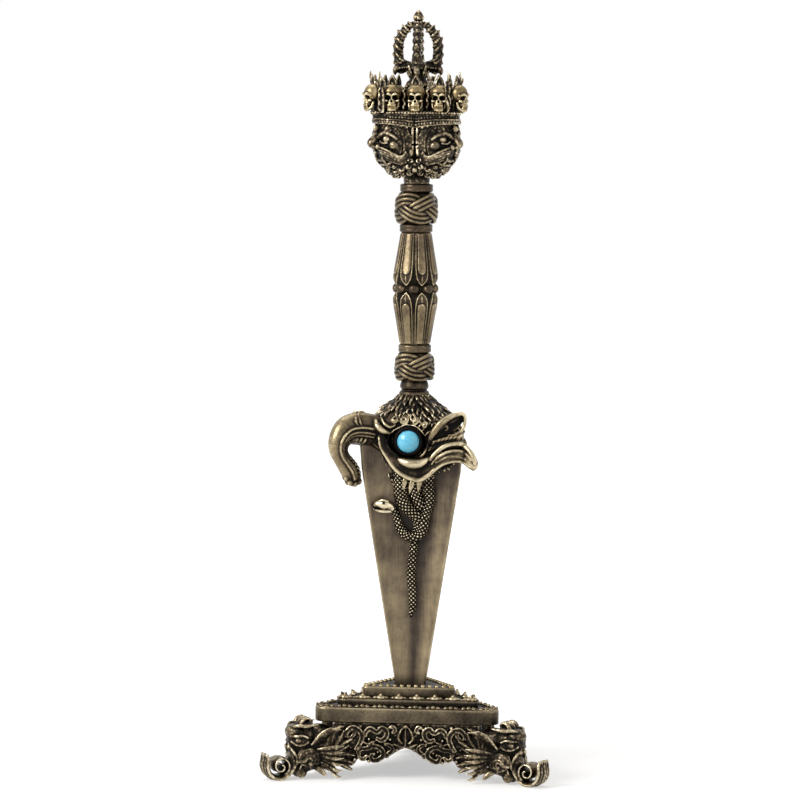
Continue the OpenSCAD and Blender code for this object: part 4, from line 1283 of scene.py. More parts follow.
        last = len(path) - 1
        for side in (-1, 1):
            for q, wire in ((0.08, 0.42), (-0.22, 0.3), (-0.42, 0.3)):
                line = [(*spot(k, q, side, 0.16), wire, wire) for k in range(14, last - 8, 2)]
                own.bar(line, (0, side, 0), 0, 8)
            for k in range(20, last - 8, 5):
                own.bar([(*spot(k, -0.56, side, 0.0), 0.4, 0.35),
                    (*spot(k + 1, -0.8, side, 0.3), 0.58, 0.55), (*spot(k + 2, -1.02, 0, 0.1), 0.5, 0.5)],
                    (0, side, 0.3), 3, 8)
                own.ball(spot(k + 1, -0.8, side, 0.15), 0.66, 10)
            for at, size in (((20.0, side * 0.8, 96.6), (1.1, 0.9, 1.3)),
                    ((21.5, side * 0.9, 95.9), (1.1, 0.9, 1.3)),
                    ((23.2, side * 0.9, 96.5), (1.1, 0.9, 1.4)), ((24.4, side * 0.8, 98.2), (1, 0.9, 1.5))):
                own.ball(at, size, 14)
            for k, reach in ((26, 0.95), (29, 0.75)):
                own.bar([(*spot(k, 0.25, side, 0.05), 0.2, 0.2),
                    (*spot(k + 1, 0.5, side, 0.12), 0.35, 0.35), (*spot(k, reach, side, 0.12), 0.3, 0.3)],
                    (0, side, 0.3), 4, 8)
        for k in (22, 24, 27):
            own.ball(path[k] + normals[k] * half[k, 0], (0.7, 0.9, 0.6), 12)
        clay.add(own.mesh(), turn(TRUNK_CORNER))

    lip_rim: tuple = ((-10.4, 111.6, 0.45, 0.4, 0.6), (-9.8, 108.1, 0.6, 0.6, 1),
        (-7.6, 104.5, 0.75, 0.7, 1.3), (-5.3, 101.4, 0.8, 0.8, 1.6), (-2.7, 99.3, 0.85, 0.9, 1.9),
        (0.5, 97.9, 0.9, 0.9, 2.1), (3.1, 97.6, 0.9, 0.9, 2.1), (5.7, 99, 0.8, 0.9, 2),
        (7.8, 100.9, 0.7, 0.8, 1.9), (10.8, 103, 0.65, 0.8, 1.9), (14.4, 103.9, 0.6, 0.8, 1.9),
        (17.2, 103.6, 0.6, 0.8, 1.6), (19.6, 101.7, 0.5, 0.7, 1))

    def lips(self, clay: Clay) -> None:
        """Adds the long lip, its bright rim and the ridged beak that hooks over the next edge."""
        self.ridge(clay, ((-9.6, 112.6, 1, 0.7, 0.2), (-8.6, 109.2, 1.4, 1, 0.3),
            (-6.4, 105.6, 1.8, 1.2, 0.4), (-3.4, 102.4, 2.2, 1.5, 0.6), (0.2, 100.4, 2.4, 1.7, 0.7),
            (3.4, 99.9, 2.4, 1.7, 0.7), (6.6, 101.6, 2.3, 1.7, 0.7), (9.8, 104.1, 2.1, 1.8, 0.8),
            (13.4, 105.6, 2, 1.9, 0.8), (16.8, 105.8, 1.9, 2, 0.6), (19.2, 104.4, 1.6, 1.8, 0.2),
            (20.2, 102.6, 1, 1.1, 0)), 16)
        self.ridge(clay, self.lip_rim, 12)
        upper = (((6.4, 103.9), (7.5, 105.6), (10.1, 108.1), (12.7, 109.3),
            (15.9, 109.5), (18, 108.4), (20, 106.3), (20.9, 104.3), (20.9, 102.8)),
            ((6.9, 102.7), (9, 105), (12.2, 106.9), (15.8, 107.2), (18.4, 106), (19.9, 104.2)),
            ((8.2, 103.3), (12.2, 105.3), (15.6, 105.4), (18.2, 104.2)))
        for line, wire, lift in zip(upper, (0.85, 0.62, 0.5), (1.5, 1.9, 2.2)):
            wires = [wire * 0.5] + [wire] * (len(line) - 2) + [wire * 0.5]
            self.ridge(clay, [(x, z, w, 0.75, lift) for (x, z), w in zip(line, wires)])
        clay.bar([(18.4, -11, 105.2, 2.3, 2.1), (20, -11.7, 103.7, 1.9, 1.9),
            (20.6, -11.9, 102.2, 1.4, 1.4), (20.2, -11.7, 100.9, 0.6, 0.6)], FRONT, 4, 14)

    def lids(self, clay: Clay) -> None:
        """Adds the lids round the eye and the smooth bulge of flesh under it."""
        upper = ((-7.4, 109.6), (-6.6, 111.9), (-4.5, 113.9), (-1, 115), (2.4, 114.1),
            (4.5, 111.2), (5.7, 108.7))
        self.ridge(clay, [(x, z, 0.5, 0.55, 1.0) for x, z in upper])
        lower = ((-7.4, 110), (-6.6, 107.2), (-4.4, 105.1), (-1, 104.3), (2.4, 104.6),
            (4.5, 106.4), (5.7, 108.9))
        self.ridge(clay, [(x, z, 0.4, 0.5, 0.8) for x, z in lower])
        self.ridge(clay, ((-4.4, 104.5, 0.4, 0.5, 0.9), (-2.6, 103.6, 1.25, 1.4, 1.3),
            (-0.2, 102.9, 1.75, 2, 1.6), (2.2, 102.8, 1.8, 2.1, 1.6), (4.4, 103.6, 1.3, 1.5, 1.4),
            (6.2, 105, 0.4, 0.5, 1)), 16)
        self.ridge(clay, ((-12.2, 117.6, 0.35, 0.45, 2), (-11.6, 116, 0.9, 1.2, 2.1),
            (-10.7, 114.4, 1.2, 1.5, 1.9), (-8.8, 113.1, 1, 1.2, 1.5), (-6.7, 112.5, 0.35, 0.4, 1)), 12)
        self.ridge(clay, ((-9.9, 117.4, 0.3, 0.4, 1), (-8.8, 115.6, 0.6, 0.7, 1.2),
            (-6.9, 114.5, 0.5, 0.6, 1.1), (-5, 115.2, 0.25, 0.3, 0.8)))

    def hair_round_eye(self, clay: Clay) -> None:
        """Adds the curls on the brow, the lashes and the feathers behind the jaw."""
        for x, z, radius, turns, start in ((-2.2, 117.2, 1.6, 1.9, 200), (1.5, 116.5, 1.3, 1.6, -20),
                (-5.4, 117, 1.2, 1.5, 180), (4.6, 115.4, 1.1, 1.5, 0)):
            self.curl(clay, x, z, radius, turns, 0.38, start)
        for x, z in ((2.6, 114.9), (3.8, 113.6), (4.9, 112.1), (5.7, 110.4)):
            self.ridge(clay, ((x, z, 0.35, 0.4, 0.8), (x + 1.0, z + 1.1, 0.4, 0.45, 1.0),
                (x + 2.2, z + 1.3, 0.2, 0.25, 0.8)))
        for k in range(9):
            x, z = 5.9 + 1.15 * k, 106.9 + 0.42 * k
            self.ridge(clay, ((x, z, 0.3, 0.35, 0.9), (x + 0.8, z + 1.3, 0.48, 0.5, 1.2),
                (x + 2.0, z + 2.1, 0.2, 0.25, 0.9)), 8)
        for k in range(6):
            x, z = 7.6 + 1.3 * k, 108.9 + 0.55 * k
            self.ridge(clay, ((x, z, 0.3, 0.35, 0.9), (x + 0.9, z + 1.3, 0.5, 0.5, 1.4),
                (x + 2.2, z + 1.9, 0.2, 0.25, 1.2)), 8)

    ear_rim: tuple = ((5.9, -12.9, 109.6, 0.5, 0.5), (6.7, -13.5, 111.7, 0.95, 0.9),
        (8.1, -13.8, 114, 1.2, 1.1), (10.2, -13.7, 116.5, 1.25, 1.1), (13, -13, 118.4, 1, 0.9),
        (16, -12, 119.3, 0.75, 0.7), (17.4, -11.5, 118.5, 0.6, 0.6), (17.5, -11.7, 116.2, 0.6, 0.6),
        (16.6, -12.1, 114, 0.6, 0.6), (14.6, -12.6, 112.6, 0.5, 0.5), (12.2, -12.9, 112.3, 0.35, 0.35))

    def ear(self, clay: Clay) -> None:
        """Adds the pointed ear: a gold rim round a deep cup, a curl at its root and a fringe below."""
        leaf = [(6.6, -12, 110.4, 0.9, 0.6), (9, -12.1, 112.8, 2, 0.8), (12, -11.8, 115, 2.6, 0.8)]
        leaf += [(14.8, -11.1, 116.8, 2, 0.8), (16.8, -10.7, 118.4, 0.7, 0.6)]
        clay.bar(leaf, (0.2, -1, 0.1), 5, 16)
        clay.bar(self.ear_rim, FRONT, 5, 12)
        clay.bar([(9.2, -13.2, 113, 0.3, 0.3), (10.2, -13.6, 114.8, 0.55, 0.55),
            (11.6, -13.5, 115.4, 0.5, 0.5), (11.9, -13.3, 114.3, 0.4, 0.4),
            (11, -13.3, 113.9, 0.3, 0.3)], FRONT, 5, 8)
        clay.bar([(12, -12.9, 115.6, 0.25, 0.3), (13.8, -12.6, 116.9, 0.4, 0.4),
            (15.9, -11.9, 118, 0.25, 0.3)], FRONT, 5, 8)
        for k in range(7):
            x, z = 7.4 + 1.35 * k, 109.9 + 0.5 * k - 0.03 * k * k
            clay.bar([(x - 0.5, -13.0 + 0.12 * k, z - 0.8, 0.3, 0.35),
                (x + 0.4, -13.5 + 0.16 * k, z + 0.3, 0.5, 0.55),
                (x + 1.7, -13.1 + 0.2 * k, z + 1.0, 0.2, 0.25)], FRONT, 4, 8)

    def throat(self, clay: Clay) -> None:
        """Adds the leaf-shaped fangs under the jaw, which lie on the blade."""
        for x, z, lean in ((-1.9, 97.2, -0.8), (0.7, 96.8, -1.2), (3, 97.4, -0.6)):
            d = self.blade.depth(x, z) + 2.4
            clay.bar([(x, -d, z + 1.2, 0.4, 0.5), (x + 0.3 * lean, -d - 0.2, z - 0.6, 0.95, 0.55),
                (x + 0.7 * lean, -d - 0.1, z - 2.4, 0.75, 0.45), (x + lean, -d + 0.2, z - 4.4, 0.15, 0.2)],
                FRONT, 4, 10)

    def beard(self, clay: Clay) -> None:
        """Adds the curly beard under the jaw and the locks that lie on the blade beside it."""
        rng = random.Random(self.seed)
        for row in range(5):
            for k in range(9 - row):
                x = (k - (8 - row) / 2) * 1.75 + rng.uniform(-0.25, 0.25)
                z = 98.6 - 1.5 * row + rng.uniform(-0.3, 0.3)
                d = self.blade.depth(x, z) + 0.35
                start = rng.uniform(0, 360)
                rows = []
                for j in range(12):
                    a = math.radians(start + 40 * j)
                    r = 0.95 * (1 - 0.07 * j)
                    rows.append((x + r * math.cos(a), -d - 0.06 * j, z + r * math.sin(a), 0.3, 0.3))
                clay.bar(rows, FRONT, 0, 7)
        for x0, x1, top0, top1, count in ((-9.4, -4.4, 106.6, 100, 16), (7.2, 13.6, 102.4, 104.4, 20)):
            for k in range(count):
                s = (k + rng.uniform(-0.3, 0.3)) / (count - 1)
                x, z = x0 + (x1 - x0) * s, top0 + (top1 - top0) * s - rng.uniform(0, 1.8)
                start = rng.uniform(0, 360)
                rows = []
                for j in range(9):
                    a = math.radians(start + 44 * j)
                    r = 0.75 * (1 - 0.08 * j)
                    xx, zz = x + r * math.cos(a), z - 0.2 * j + r * math.sin(a)
                    rows.append((xx, -self.blade.depth(xx, min(zz, 108)) - 0.25, zz, 0.24, 0.3))
                clay.bar(rows, FRONT, 0, 6)

    def mane(self, clay: Clay) -> None:
        """Adds the mane: overlapping rows of wavy locks that fall from the collar and cover the nape."""
        rng = random.Random(self.seed + 1)
        rows = ((124.6, 121, 28), (123.2, 119.6, 35), (121.8, 118.2, 42), (120.4, 116.8, 48),
            (119, 115.4, 52), (117.8, 114, 54))
        for row, (top, low, count) in enumerate(rows):
            for k in range(count):
                a0 = 360 * (k + 0.5 * (row % 2)) / count + rng.uniform(-2, 2)
                off_trunk = abs((a0 - TRUNK_CORNER + 180) % 360 - 180)
                brow = min(abs(a0 - 266), abs(a0 - 154))
                if row >= 3 and off_trunk < 34 or row == 5 and off_trunk < 100 or row == 4 and brow < 26:
                    continue
                nape = abs((a0 - 30 + 180) % 360 - 180)
                bottom = low if row < 4 or nape > 62 else low - 2
                bottom -= rng.uniform(-0.4, 0.9)
                sway = rng.uniform(-4.5, 4.5)
                spring, flick = rng.uniform(0.5, 1.5), rng.uniform(0.2, 2)
                path = []
                for j in range(6):
                    s = j / 5
                    z = top + (bottom - top) * s
                    a = a0 + sway * s + 2.6 * math.sin(5.0 * s + k)
                    r = self.core_radius(a, z) + 0.4 + spring * math.sin(math.pi * min(s * 1.1, 1))
                    r += flick if s > 0.7 else 0
                    thick = (0.34, 0.46, 0.52, 0.46, 0.34, 0.12)[j]
                    path.append((*polar(r, a, z), thick, thick * 0.9))
                clay.bar(path, polar(1, a0, 0.3), 3, 7)
        for row in range(5):
            for k in range(13):
                a0 = -26 + 9.4 * (k + 0.5 * (row % 2)) + rng.uniform(-1.5, 1.5)
                if a0 > 88 or (row > 2 and a0 < 4):
                    continue
                top = 115.5 - 3.6 * row
                sway = rng.uniform(-3, 3)
                path = []
                for j in range(6):
                    s = j / 5
                    z = top - 5.2 * s
                    a = a0 + sway * s + 2.2 * math.sin(4.6 * s + k + row)
                    r = self.core_radius(a, max(z, 99)) + 0.2 + 0.7 * math.sin(math.pi * min(s * 1.1, 1))
                    thick = (0.5, 0.8, 0.9, 0.8, 0.55, 0.15)[j]
                    path.append((*polar(r, a, z), thick, thick * 0.8))
                clay.bar(path, polar(1, a0, 0.2), 3, 7)

    def eyes(self, shop: Workshop) -> None:
        """Turns the cabochons and their bezels, front and mirrored."""
        x, z = self.eye
        seat = Matrix.Translation((x, -self.seat, z)) @ Matrix.Rotation(math.pi / 2, 4, "X")
        rim, rise = 1.6, 2.15
        big = (self.stone**2 + rise**2) / (2 * rise)
        dome = [(0, 0.05), (self.stone, 0.05), (self.stone, 0.8), (self.stone, rim)]
        for r in np.linspace(self.stone, 0, 16)[1:]:
            dome.append((float(r), rim + rise - big + math.sqrt(big**2 - r * r)))
        cup = [(self.stone + 0.06, 0.05), (4.95, 0.05), (4.95, 1.4), (4.8, 1.9), (4.5, 2.25), (4.1, 2.4),
            (3.75, 2.36), (3.62, 2.2), (3.8, 2.05), (self.stone + 0.06, 1.7)]
        for side, matrix in (("front", seat), ("back", across_plane(TRUNK_CORNER) @ seat)):
            for name, profile, node in (("stone", dome, "eye_stone_"), ("bezel", cup, "eye_bezel_")):
                form = spun(profile, 96, name == "bezel")
                bmesh.ops.transform(form, matrix=matrix, verts=form.verts)
                bmesh.ops.recalc_face_normals(form, faces=form.faces)
                piece = as_piece(f"eye_{name}_{side}_turned", form)
                at = Skin(piece)
                middle = np.array(matrix.translation)
                away = np.array(matrix.to_3x3() @ Vector(UP))
                rel = at.at - middle
                off = np.linalg.norm(rel - np.outer(rel @ away, away), axis=1)
                if name == "stone":
                    at.store("wear_and_light", np.clip((self.stone - off) / 1.0, 0, 1))
                    shop.hand_over(piece, shop.stone, node + side, slot=Slot.TURQUOISE)
                else:
                    at.store("wear_and_light", np.full(len(off), 0.1))
                    shop.hand_over(piece, shop.cast, node + side)

    def rub_and_light(self, worked: Skin, matrix: Matrix) -> None:
        """Darkens or brightens parts of a cheek: rubbed brass where hands meet the lip's rim, the bulge,
        the fangs, the fold by the trunk, the beak and the ear's rim, and painted shade, over the patina
        there, in the fold under the eye, in the ear's cup and round the sunk eye.

        Args:
            worked: The face's skin.
            matrix: Where the cheek is.
        """
        marks = (
            # Lighter marks are rubbed brass; the darker mark in the fold is painted shade.
            # The fold between the eye and the lip
            (((-6.8, 107), (-4.2, 103), (-1, 101), (2.6, 100.6), (5.8, 102.2), (8, 104.2)),
                1.5, -0.16, 1.0),
            # The rim of the lip
            ([row[:2] for row in self.lip_rim], 0.9, 0.34, 1.8),
            # The bulge of flesh under the eye
            (((-3.4, 103.6), (-0.4, 102.8), (2.2, 102.7), (4.8, 103.7)), 1.5, 0.3, 2.6),
            # The fangs
            (((-2.3, 95.4), (0.2, 94.8), (2.7, 95.6)), 1.8, 0.22, 2.0),
            # The smooth fold between the trunk and the eye
            (((-11.6, 116.4), (-10.7, 114.6), (-8.8, 113.3), (-7.2, 112.7)), 1.1, 0.24, 2.4),
            # The top ridge of the beak, and its tip
            (((7.6, 105.7), (10.1, 108.1), (12.7, 109.3), (15.9, 109.5), (18, 108.4), (20, 106.3)),
                0.9, 0.14, 1.8),
            (((19.8, 104), (20.6, 102.4), (20.2, 101.2)), 1.7, 0.32, 1.2),
        )
        for line, wide, amount, lift in marks:
            path = spline([tuple(self.on(x, z, lift)) for x, z in line], 8)
            worked.tint(path, wide, amount, matrix)
        rim = spline([row[:3] for row in self.ear_rim[1:7]], 8)
        worked.tint(rim, 1.2, 0.22, matrix)
        # Painted shade in the ear's cup, over its patina.
        cup = spline(((11, -12.4, 114), (13.6, -12, 115.6), (15.6, -11.4, 117)), 8)
        worked.tint(cup, 1.3, -0.5, matrix)
        # Painted shade in the recess round the sunk eye.
        eye = np.array([tuple(self.on(self.eye[0] + u, self.eye[1], 0.3)) for u in np.linspace(-6, 6, 13)])
        worked.tint(eye, 3.6, -0.55, matrix)

    def build(self, shop: Workshop) -> None:
        """Casts the head in two pieces, face and mane."""
        cheek = Clay()
        for part in (self.lips, self.lids, self.hair_round_eye, self.ear, self.throat):
            part(cheek)
        cheek.add(cheek.mesh(), across_plane(TRUNK_CORNER))
        cheek.add(self.core())
        self.trunk(cheek)
        face = cheek.cast("makara_face_cast", 0.285)
        worked = Skin(face)
        sides = (STILL, across_plane(TRUNK_CORNER))
        for matrix in sides:
            centre = np.array(matrix @ Vector(self.on(*self.eye)))
            away = np.array((matrix.to_3x3() @ Vector(FRONT)))
            aside = np.array((matrix.to_3x3() @ Vector(OUT)))
            rel = worked.at - centre
            deep = rel @ away
            flat = rel - np.outer(deep, away)
            off = np.linalg.norm(flat, axis=1)
            sunk = np.clip((5.2 - off) / 0.4, 0, 1) * np.clip(deep + 3.0, 0, None)
            almond = np.hypot((flat @ aside + 0.4) / 6.6, flat[:, 2] / 4.7)
            dent = np.clip((1.0 - almond) / 0.2, 0, 1) * np.clip(deep + 0.9, 0, 2.2)
            worked.at = worked.at - away * np.where(deep > -4, np.maximum(sunk, dent), 0)[:, None]
        worked.write()
        worked.weather(4, 45, (3.2, 0.5))
        for matrix in sides:
            self.rub_and_light(worked, matrix)
        # Painted light on the trunk: a painted highlight down its outside, which faces the key lamp, and
        # painted shade along its inside.
        path, normals, half = self.trunk_lines()
        outside = path + normals * (0.55 * half[:, :1])
        worked.tint(outside[20:-30], 2.8, 0.27, turn(TRUNK_CORNER))
        inside = path - normals * (0.75 * half[:, :1])
        worked.tint(inside[12:-8], 1.7, -0.12, turn(TRUNK_CORNER))
        worked.write_wear_and_light()
        shop.hand_over(face, shop.carved, "makara_head")
        hair = Clay()
        self.beard(hair)
        hair.add(hair.mesh(), across_plane(TRUNK_CORNER))
        self.mane(hair)
        hair.turned([(4.6, 116), (5.2, 119), (4.9, 122), (4.5, 124)], 32)
        locks = hair.cast("makara_mane_cast", 0.25)
        worked = Skin(locks)
        worked.weather(3, 24, (5.4, 0.6))
        worked.wear_and_light = worked.wear_and_light + 0.03
        for matrix in sides:
            for line in (((-9.4, 106), (-7, 102.4), (-4.6, 99.2)),
                    ((7, 101.6), (10.4, 102.6), (13.8, 103.4))):
                path = spline([(x, -self.blade.depth(x, z) - 0.4, z) for x, z in line], 8)
                worked.tint(path, 1.9, -0.3, matrix)
        worked.write_wear_and_light()
        shop.hand_over(locks, shop.black)
        self.eyes(shop)


# Three faces, skull crown and half vajra


def lobed(a: float, rc: float, degrees: Array) -> Array:
    """Radius of a section of three round lobes that meet in seams.

    Args:
        a: Distance from the axis to a seam.
        rc: Distance from the axis to a lobe's front.
        degrees: The directions asked for.

    Returns:
        The radius in each direction.
    """
    off = np.radians(np.abs(np.mod(degrees - 30, 120) - 60))
    middle = (rc * rc - a * a) / (2 * rc - a) if rc > a else 0.0
    return middle * np.cos(off) + np.sqrt((rc - middle) ** 2 - (middle * np.sin(off)) ** 2)


@dataclass
class ThreeFaces:
    """Three wrathful faces in one casting, each over an edge of the blade. In millimetres.

    One face is modelled looking along x, with y to its side, and is turned to the three corners.
    """

    neck: float = 193.3

    levels: tuple = ((196.7, 6, 7.4), (198.2, 7.5, 10), (200, 8.3, 12), (201.8, 8.8, 13.1), (204, 9, 13.8),
        (207, 9.1, 14.1), (210, 9.1, 13.9), (212.8, 9.1, 13.5))

    def lobe(self, z: float) -> tuple[float, float]:
        """How far out a face's round lobe has its middle at height z, and the lobe's radius."""
        heights = [row[0] for row in self.levels]
        a = float(np.interp(z, heights, [row[1] for row in self.levels]))
        rc = float(np.interp(z, heights, [row[2] for row in self.levels]))
        middle = (rc * rc - a * a) / (2 * rc - a)
        return middle, rc - middle

    def on(self, degrees: float, z: float, lift: float) -> Array:
        """The spot of a face at that angle round its lobe, lifted off the bare skin."""
        middle, radius = self.lobe(z)
        a = math.radians(degrees)
        return np.array([middle + (radius + lift) * math.cos(a), (radius + lift) * math.sin(a), z])

    def stroke(self, clay: Clay, points: Sequence[Point], lift: float, around: int = 8) -> None:
        """Lays a bar on the face, and its mirror image.

        Args:
            clay: The pile.
            points: Rows of angle round the lobe, z, half width and half height.
            lift: Lift off the face.
            around: Points round the bar.
        """
        rows = [(*self.on(a, z, lift), w, h) for a, z, w, h in spline(points, 4)]
        clay.bar(rows, OUT, 0, around)
        clay.bar([(x, -y, z, w, h) for x, y, z, w, h in rows], OUT, 0, around)

    def curl(self, clay: Clay, degrees: float, z: float, radius: float, wire: float, begin: float) -> None:
        """Lays a spiral curl of hair on the face, and its mirror image."""
        for side in (-1, 1) if degrees else (1,):
            out = self.on(side * degrees, z, 0.0)
            away = np.array([math.cos(math.radians(degrees)), side * math.sin(math.radians(degrees)), 0])
            aside = np.array([-away[1], away[0], 0])
            rows = []
            for j in range(15):
                a = math.radians(begin + 34 * j) * side
                q = radius * (1 - 0.055 * j)
                at = out + away * (0.2 + 0.07 * j) + aside * (q * math.sin(a))
                at[2] += q * math.cos(a)
                rows.append((*at, wire, wire))
            clay.bar(rows, tuple(away), 0, 8)
            clay.ball(out - away * 0.2, radius, 12)

    def face(self) -> Clay:
        """Models one face: hooked nose, bulging eyes, bared teeth, flaming brows, curled beard."""
        clay = Clay()
        clay.bar([(13.4, 0, 210.2, 0.8, 0.9), (14.6, 0, 208.7, 1, 1.2), (15.9, 0, 207.4, 1.4, 1.3),
            (16.8, 0, 206.4, 1.3, 1.1), (15.6, 0, 205.2, 1, 0.8)], OUT, 4, 14)
        clay.ball((16.9, 0, 206.3), (1, 0.9, 0.8), 14)
        clay.ball((14.6, 0, 211.3), (1.2, 0.9, 1.2), 14)
        clay.ball((15.5, 0, 211.3), 0.45, 10)
        for side in (-1, 1):
            clay.ball((14.6, side * 1.5, 205.4), (1.1, 0.95, 0.95), 14)
            clay.ball(self.on(side * 31, 208.0, -0.1), (1.35, 1.35, 1.3), 20)
            clay.ball(self.on(side * 50, 205.9, -0.6), (1.9, 1.9, 1.7), 20)
            clay.ball(self.on(side * 88, 203.6, 0.3), (0.9, 0.9, 1.3), 12)
        self.stroke(clay, ((7, 208.2, 0.5, 0.6), (17, 209.2, 0.75, 0.9), (31, 209.8, 0.75, 0.9),
            (46, 209.1, 0.6, 0.7), (58, 207.8, 0.35, 0.4)), 0.5, 10)
        self.stroke(clay, ((13, 207.4, 0.25, 0.3), (22, 206.6, 0.35, 0.45), (36, 206.7, 0.3, 0.4)), 0.45)
        for k in range(9):
            fan = math.radians(158 - 17 * k)
            a0, z0 = 31 - 9 * math.cos(fan), 208.6
            reach = 4.3 - 0.16 * abs(k - 3)
            self.stroke(clay, ((a0 + 4 * math.cos(fan), z0 + 1.2 * math.sin(fan), 0.4, 0.45),
                (a0 + 13 * math.cos(fan) + 1.5, z0 + 0.62 * reach * math.sin(fan), 0.55, 0.7),
                (a0 + 20 * math.cos(fan) + 4, z0 + reach * math.sin(fan), 0.16, 0.2)), 0.55, 7)
        for k in range(5):
            self.stroke(clay, ((8 + 2 * k, 205.2 - 0.8 * k, 0.26, 0.35),
                (22 + k, 205.0 - 0.9 * k, 0.4, 0.6), (40 + k, 203.9 - 0.85 * k, 0.44, 0.7),
                (57 + k, 202.5 - 0.6 * k, 0.4, 0.6), (68 + 2 * k, 202.6 - 0.4 * k, 0.3, 0.45),
                (76 + 2 * k, 204.0 - 0.4 * k, 0.18, 0.25)), 0.75 - 0.08 * k, 8)
        for k in range(5):
            rows = []
            for j in range(8):
                fan = math.radians(-62 + 28 * j)
                q = 2.5 + 0.8 * k
                rows.append((43 + 4.4 * q * math.cos(fan), 206.9 + q * math.sin(fan),
                    0.16 + 0.06 * (1 < j < 6), 0.34))
            self.stroke(clay, [row for row in rows if row[0] < 88 and 201.5 < row[1] < 212.6], 0.3, 7)
        for k in range(9):
            clay.ball(self.on((k - 4) * 5.2, 201.0 + 0.05 * abs(k - 4), 0.45), (0.55, 0.42, 0.6), 10)
        self.stroke(clay, ((17, 202, 0.5, 0.5), (19, 200.3, 0.4, 0.4), (20, 198.9, 0.12, 0.12)), 0.9)
        self.stroke(clay, ((0, 199.7, 0.55, 0.75), (18, 199.7, 0.55, 0.7), (36, 200.4, 0.35, 0.45)), 0.4)
        clay.ball(self.on(0, 198.5, -0.5), (1.6, 2, 1.2), 16)
        curls = ((0, 197.1, 1.2), (26, 197.6, 1.25), (50, 198.3, 1.35), (72, 199.2, 1.35), (90, 198.9, 1.1),
            (14, 195.9, 0.9), (38, 196.4, 1), (62, 197, 0.95), (84, 200.9, 0.9), (76, 211.9, 0.7),
            (64, 212.4, 0.65), (8, 198.4, 0.8), (20, 199.2, 0.7), (34, 199, 0.75), (60, 200.2, 0.7),
            (76, 201.2, 0.65), (44, 197.4, 0.7), (70, 198, 0.7))
        for k, (a0, z, r) in enumerate(curls):
            self.curl(clay, a0, z, r, 0.3 * r + 0.06, 90 + 47 * k)
        for k in range(4):
            self.stroke(clay, ((52 + 7 * k, 212.3 - 0.1 * k, 0.25, 0.3),
                (66 + 5 * k, 210.6 - 0.2 * k, 0.34, 0.45), (73 + 4.5 * k, 208.0, 0.38, 0.5),
                (74 + 4 * k, 205.4, 0.34, 0.45), (71 + 4 * k, 203.4 - 0.2 * k, 0.2, 0.3)), 0.3)
        return clay

    def build(self, shop: Workshop) -> None:
        """Casts the three faces on their common neck."""
        whole = Clay()
        one = self.face().mesh()
        for corner in CORNERS:
            whole.add(one, turn(corner))
        rings = []
        angles = np.arange(0, 360, 3)
        for z, a, rc in ((self.neck, 4.2, 4.2), (195.4, 4.3, 4.3), (196.2, 5.2, 5.6), *self.levels):
            r = lobed(a, rc, angles)
            rings.append(ring_at(r, angles, z))
        whole.add(skin(np.array(rings)))
        for side in SIDES:
            bars = Clay()
            for x in (-0.75, 0.75):
                bars.bar([(x, -9.3, 202.4, 0.4, 0.6), (x, -9.7, 203.6, 0.55, 0.8),
                    (x, -9.8, 205.9, 0.55, 0.8)], FRONT, 3, 10)
                bars.bar([(x, -9.8, 206.5, 0.55, 0.8), (x, -9.8, 210.4, 0.55, 0.8),
                    (x, -9.5, 212.6, 0.4, 0.6)], FRONT, 3, 10)
                bars.bar([(x * 2.8, -9.2, 202.0, 0.28, 0.4), (x * 2.9, -9.5, 206.0, 0.28, 0.4),
                    (x * 2.8, -9.4, 212.0, 0.28, 0.4)], FRONT, 4, 8)
            for x, z, r in ((0, 200.2, 1.1), (-2.1, 199.4, 1), (2.1, 199.4, 1), (0, 198, 0.9),
                    (-3.9, 200.4, 0.9), (3.9, 200.4, 0.9)):
                bars.ball((x, -8.9 + 0.1 * abs(x), z), r, 12)
            whole.add(bars.mesh(), turn(side + 90))
        piece = whole.cast("three_faced_head_cast", 0.235)
        worked = Skin(piece)
        worked.weather(4, 34, (3.4, 0.6))
        moustache = [self.on(a, 204.0 - 0.03 * abs(a), 0.8) for a in np.linspace(15, 62, 24)]
        eye = [self.on(a, 207.6, 0.8) for a in (30, 38, 46)]
        nose = np.array([[15.6, 0, z] for z in np.linspace(205.6, 207.6, 5)])
        for corner in CORNERS:
            for line, wide, amount in ((moustache, 1.0, 0.2), (eye, 1.2, 0.1)):
                for side in (1, -1):
                    worked.tint(np.array(line) * (1, side, 1), wide, amount, turn(corner))
            worked.tint(nose, 1.0, 0.2, turn(corner))
        for side in SIDES:
            for x in (-0.8, 0.8):
                line = np.array([[x, -10.3, z] for z in np.linspace(202.6, 212.4, 30)])
                worked.tint(line, 0.6, 0.12, turn(side + 90))
        worked.write_wear_and_light()
        shop.hand_over(piece, shop.dense, "three_faced_head")


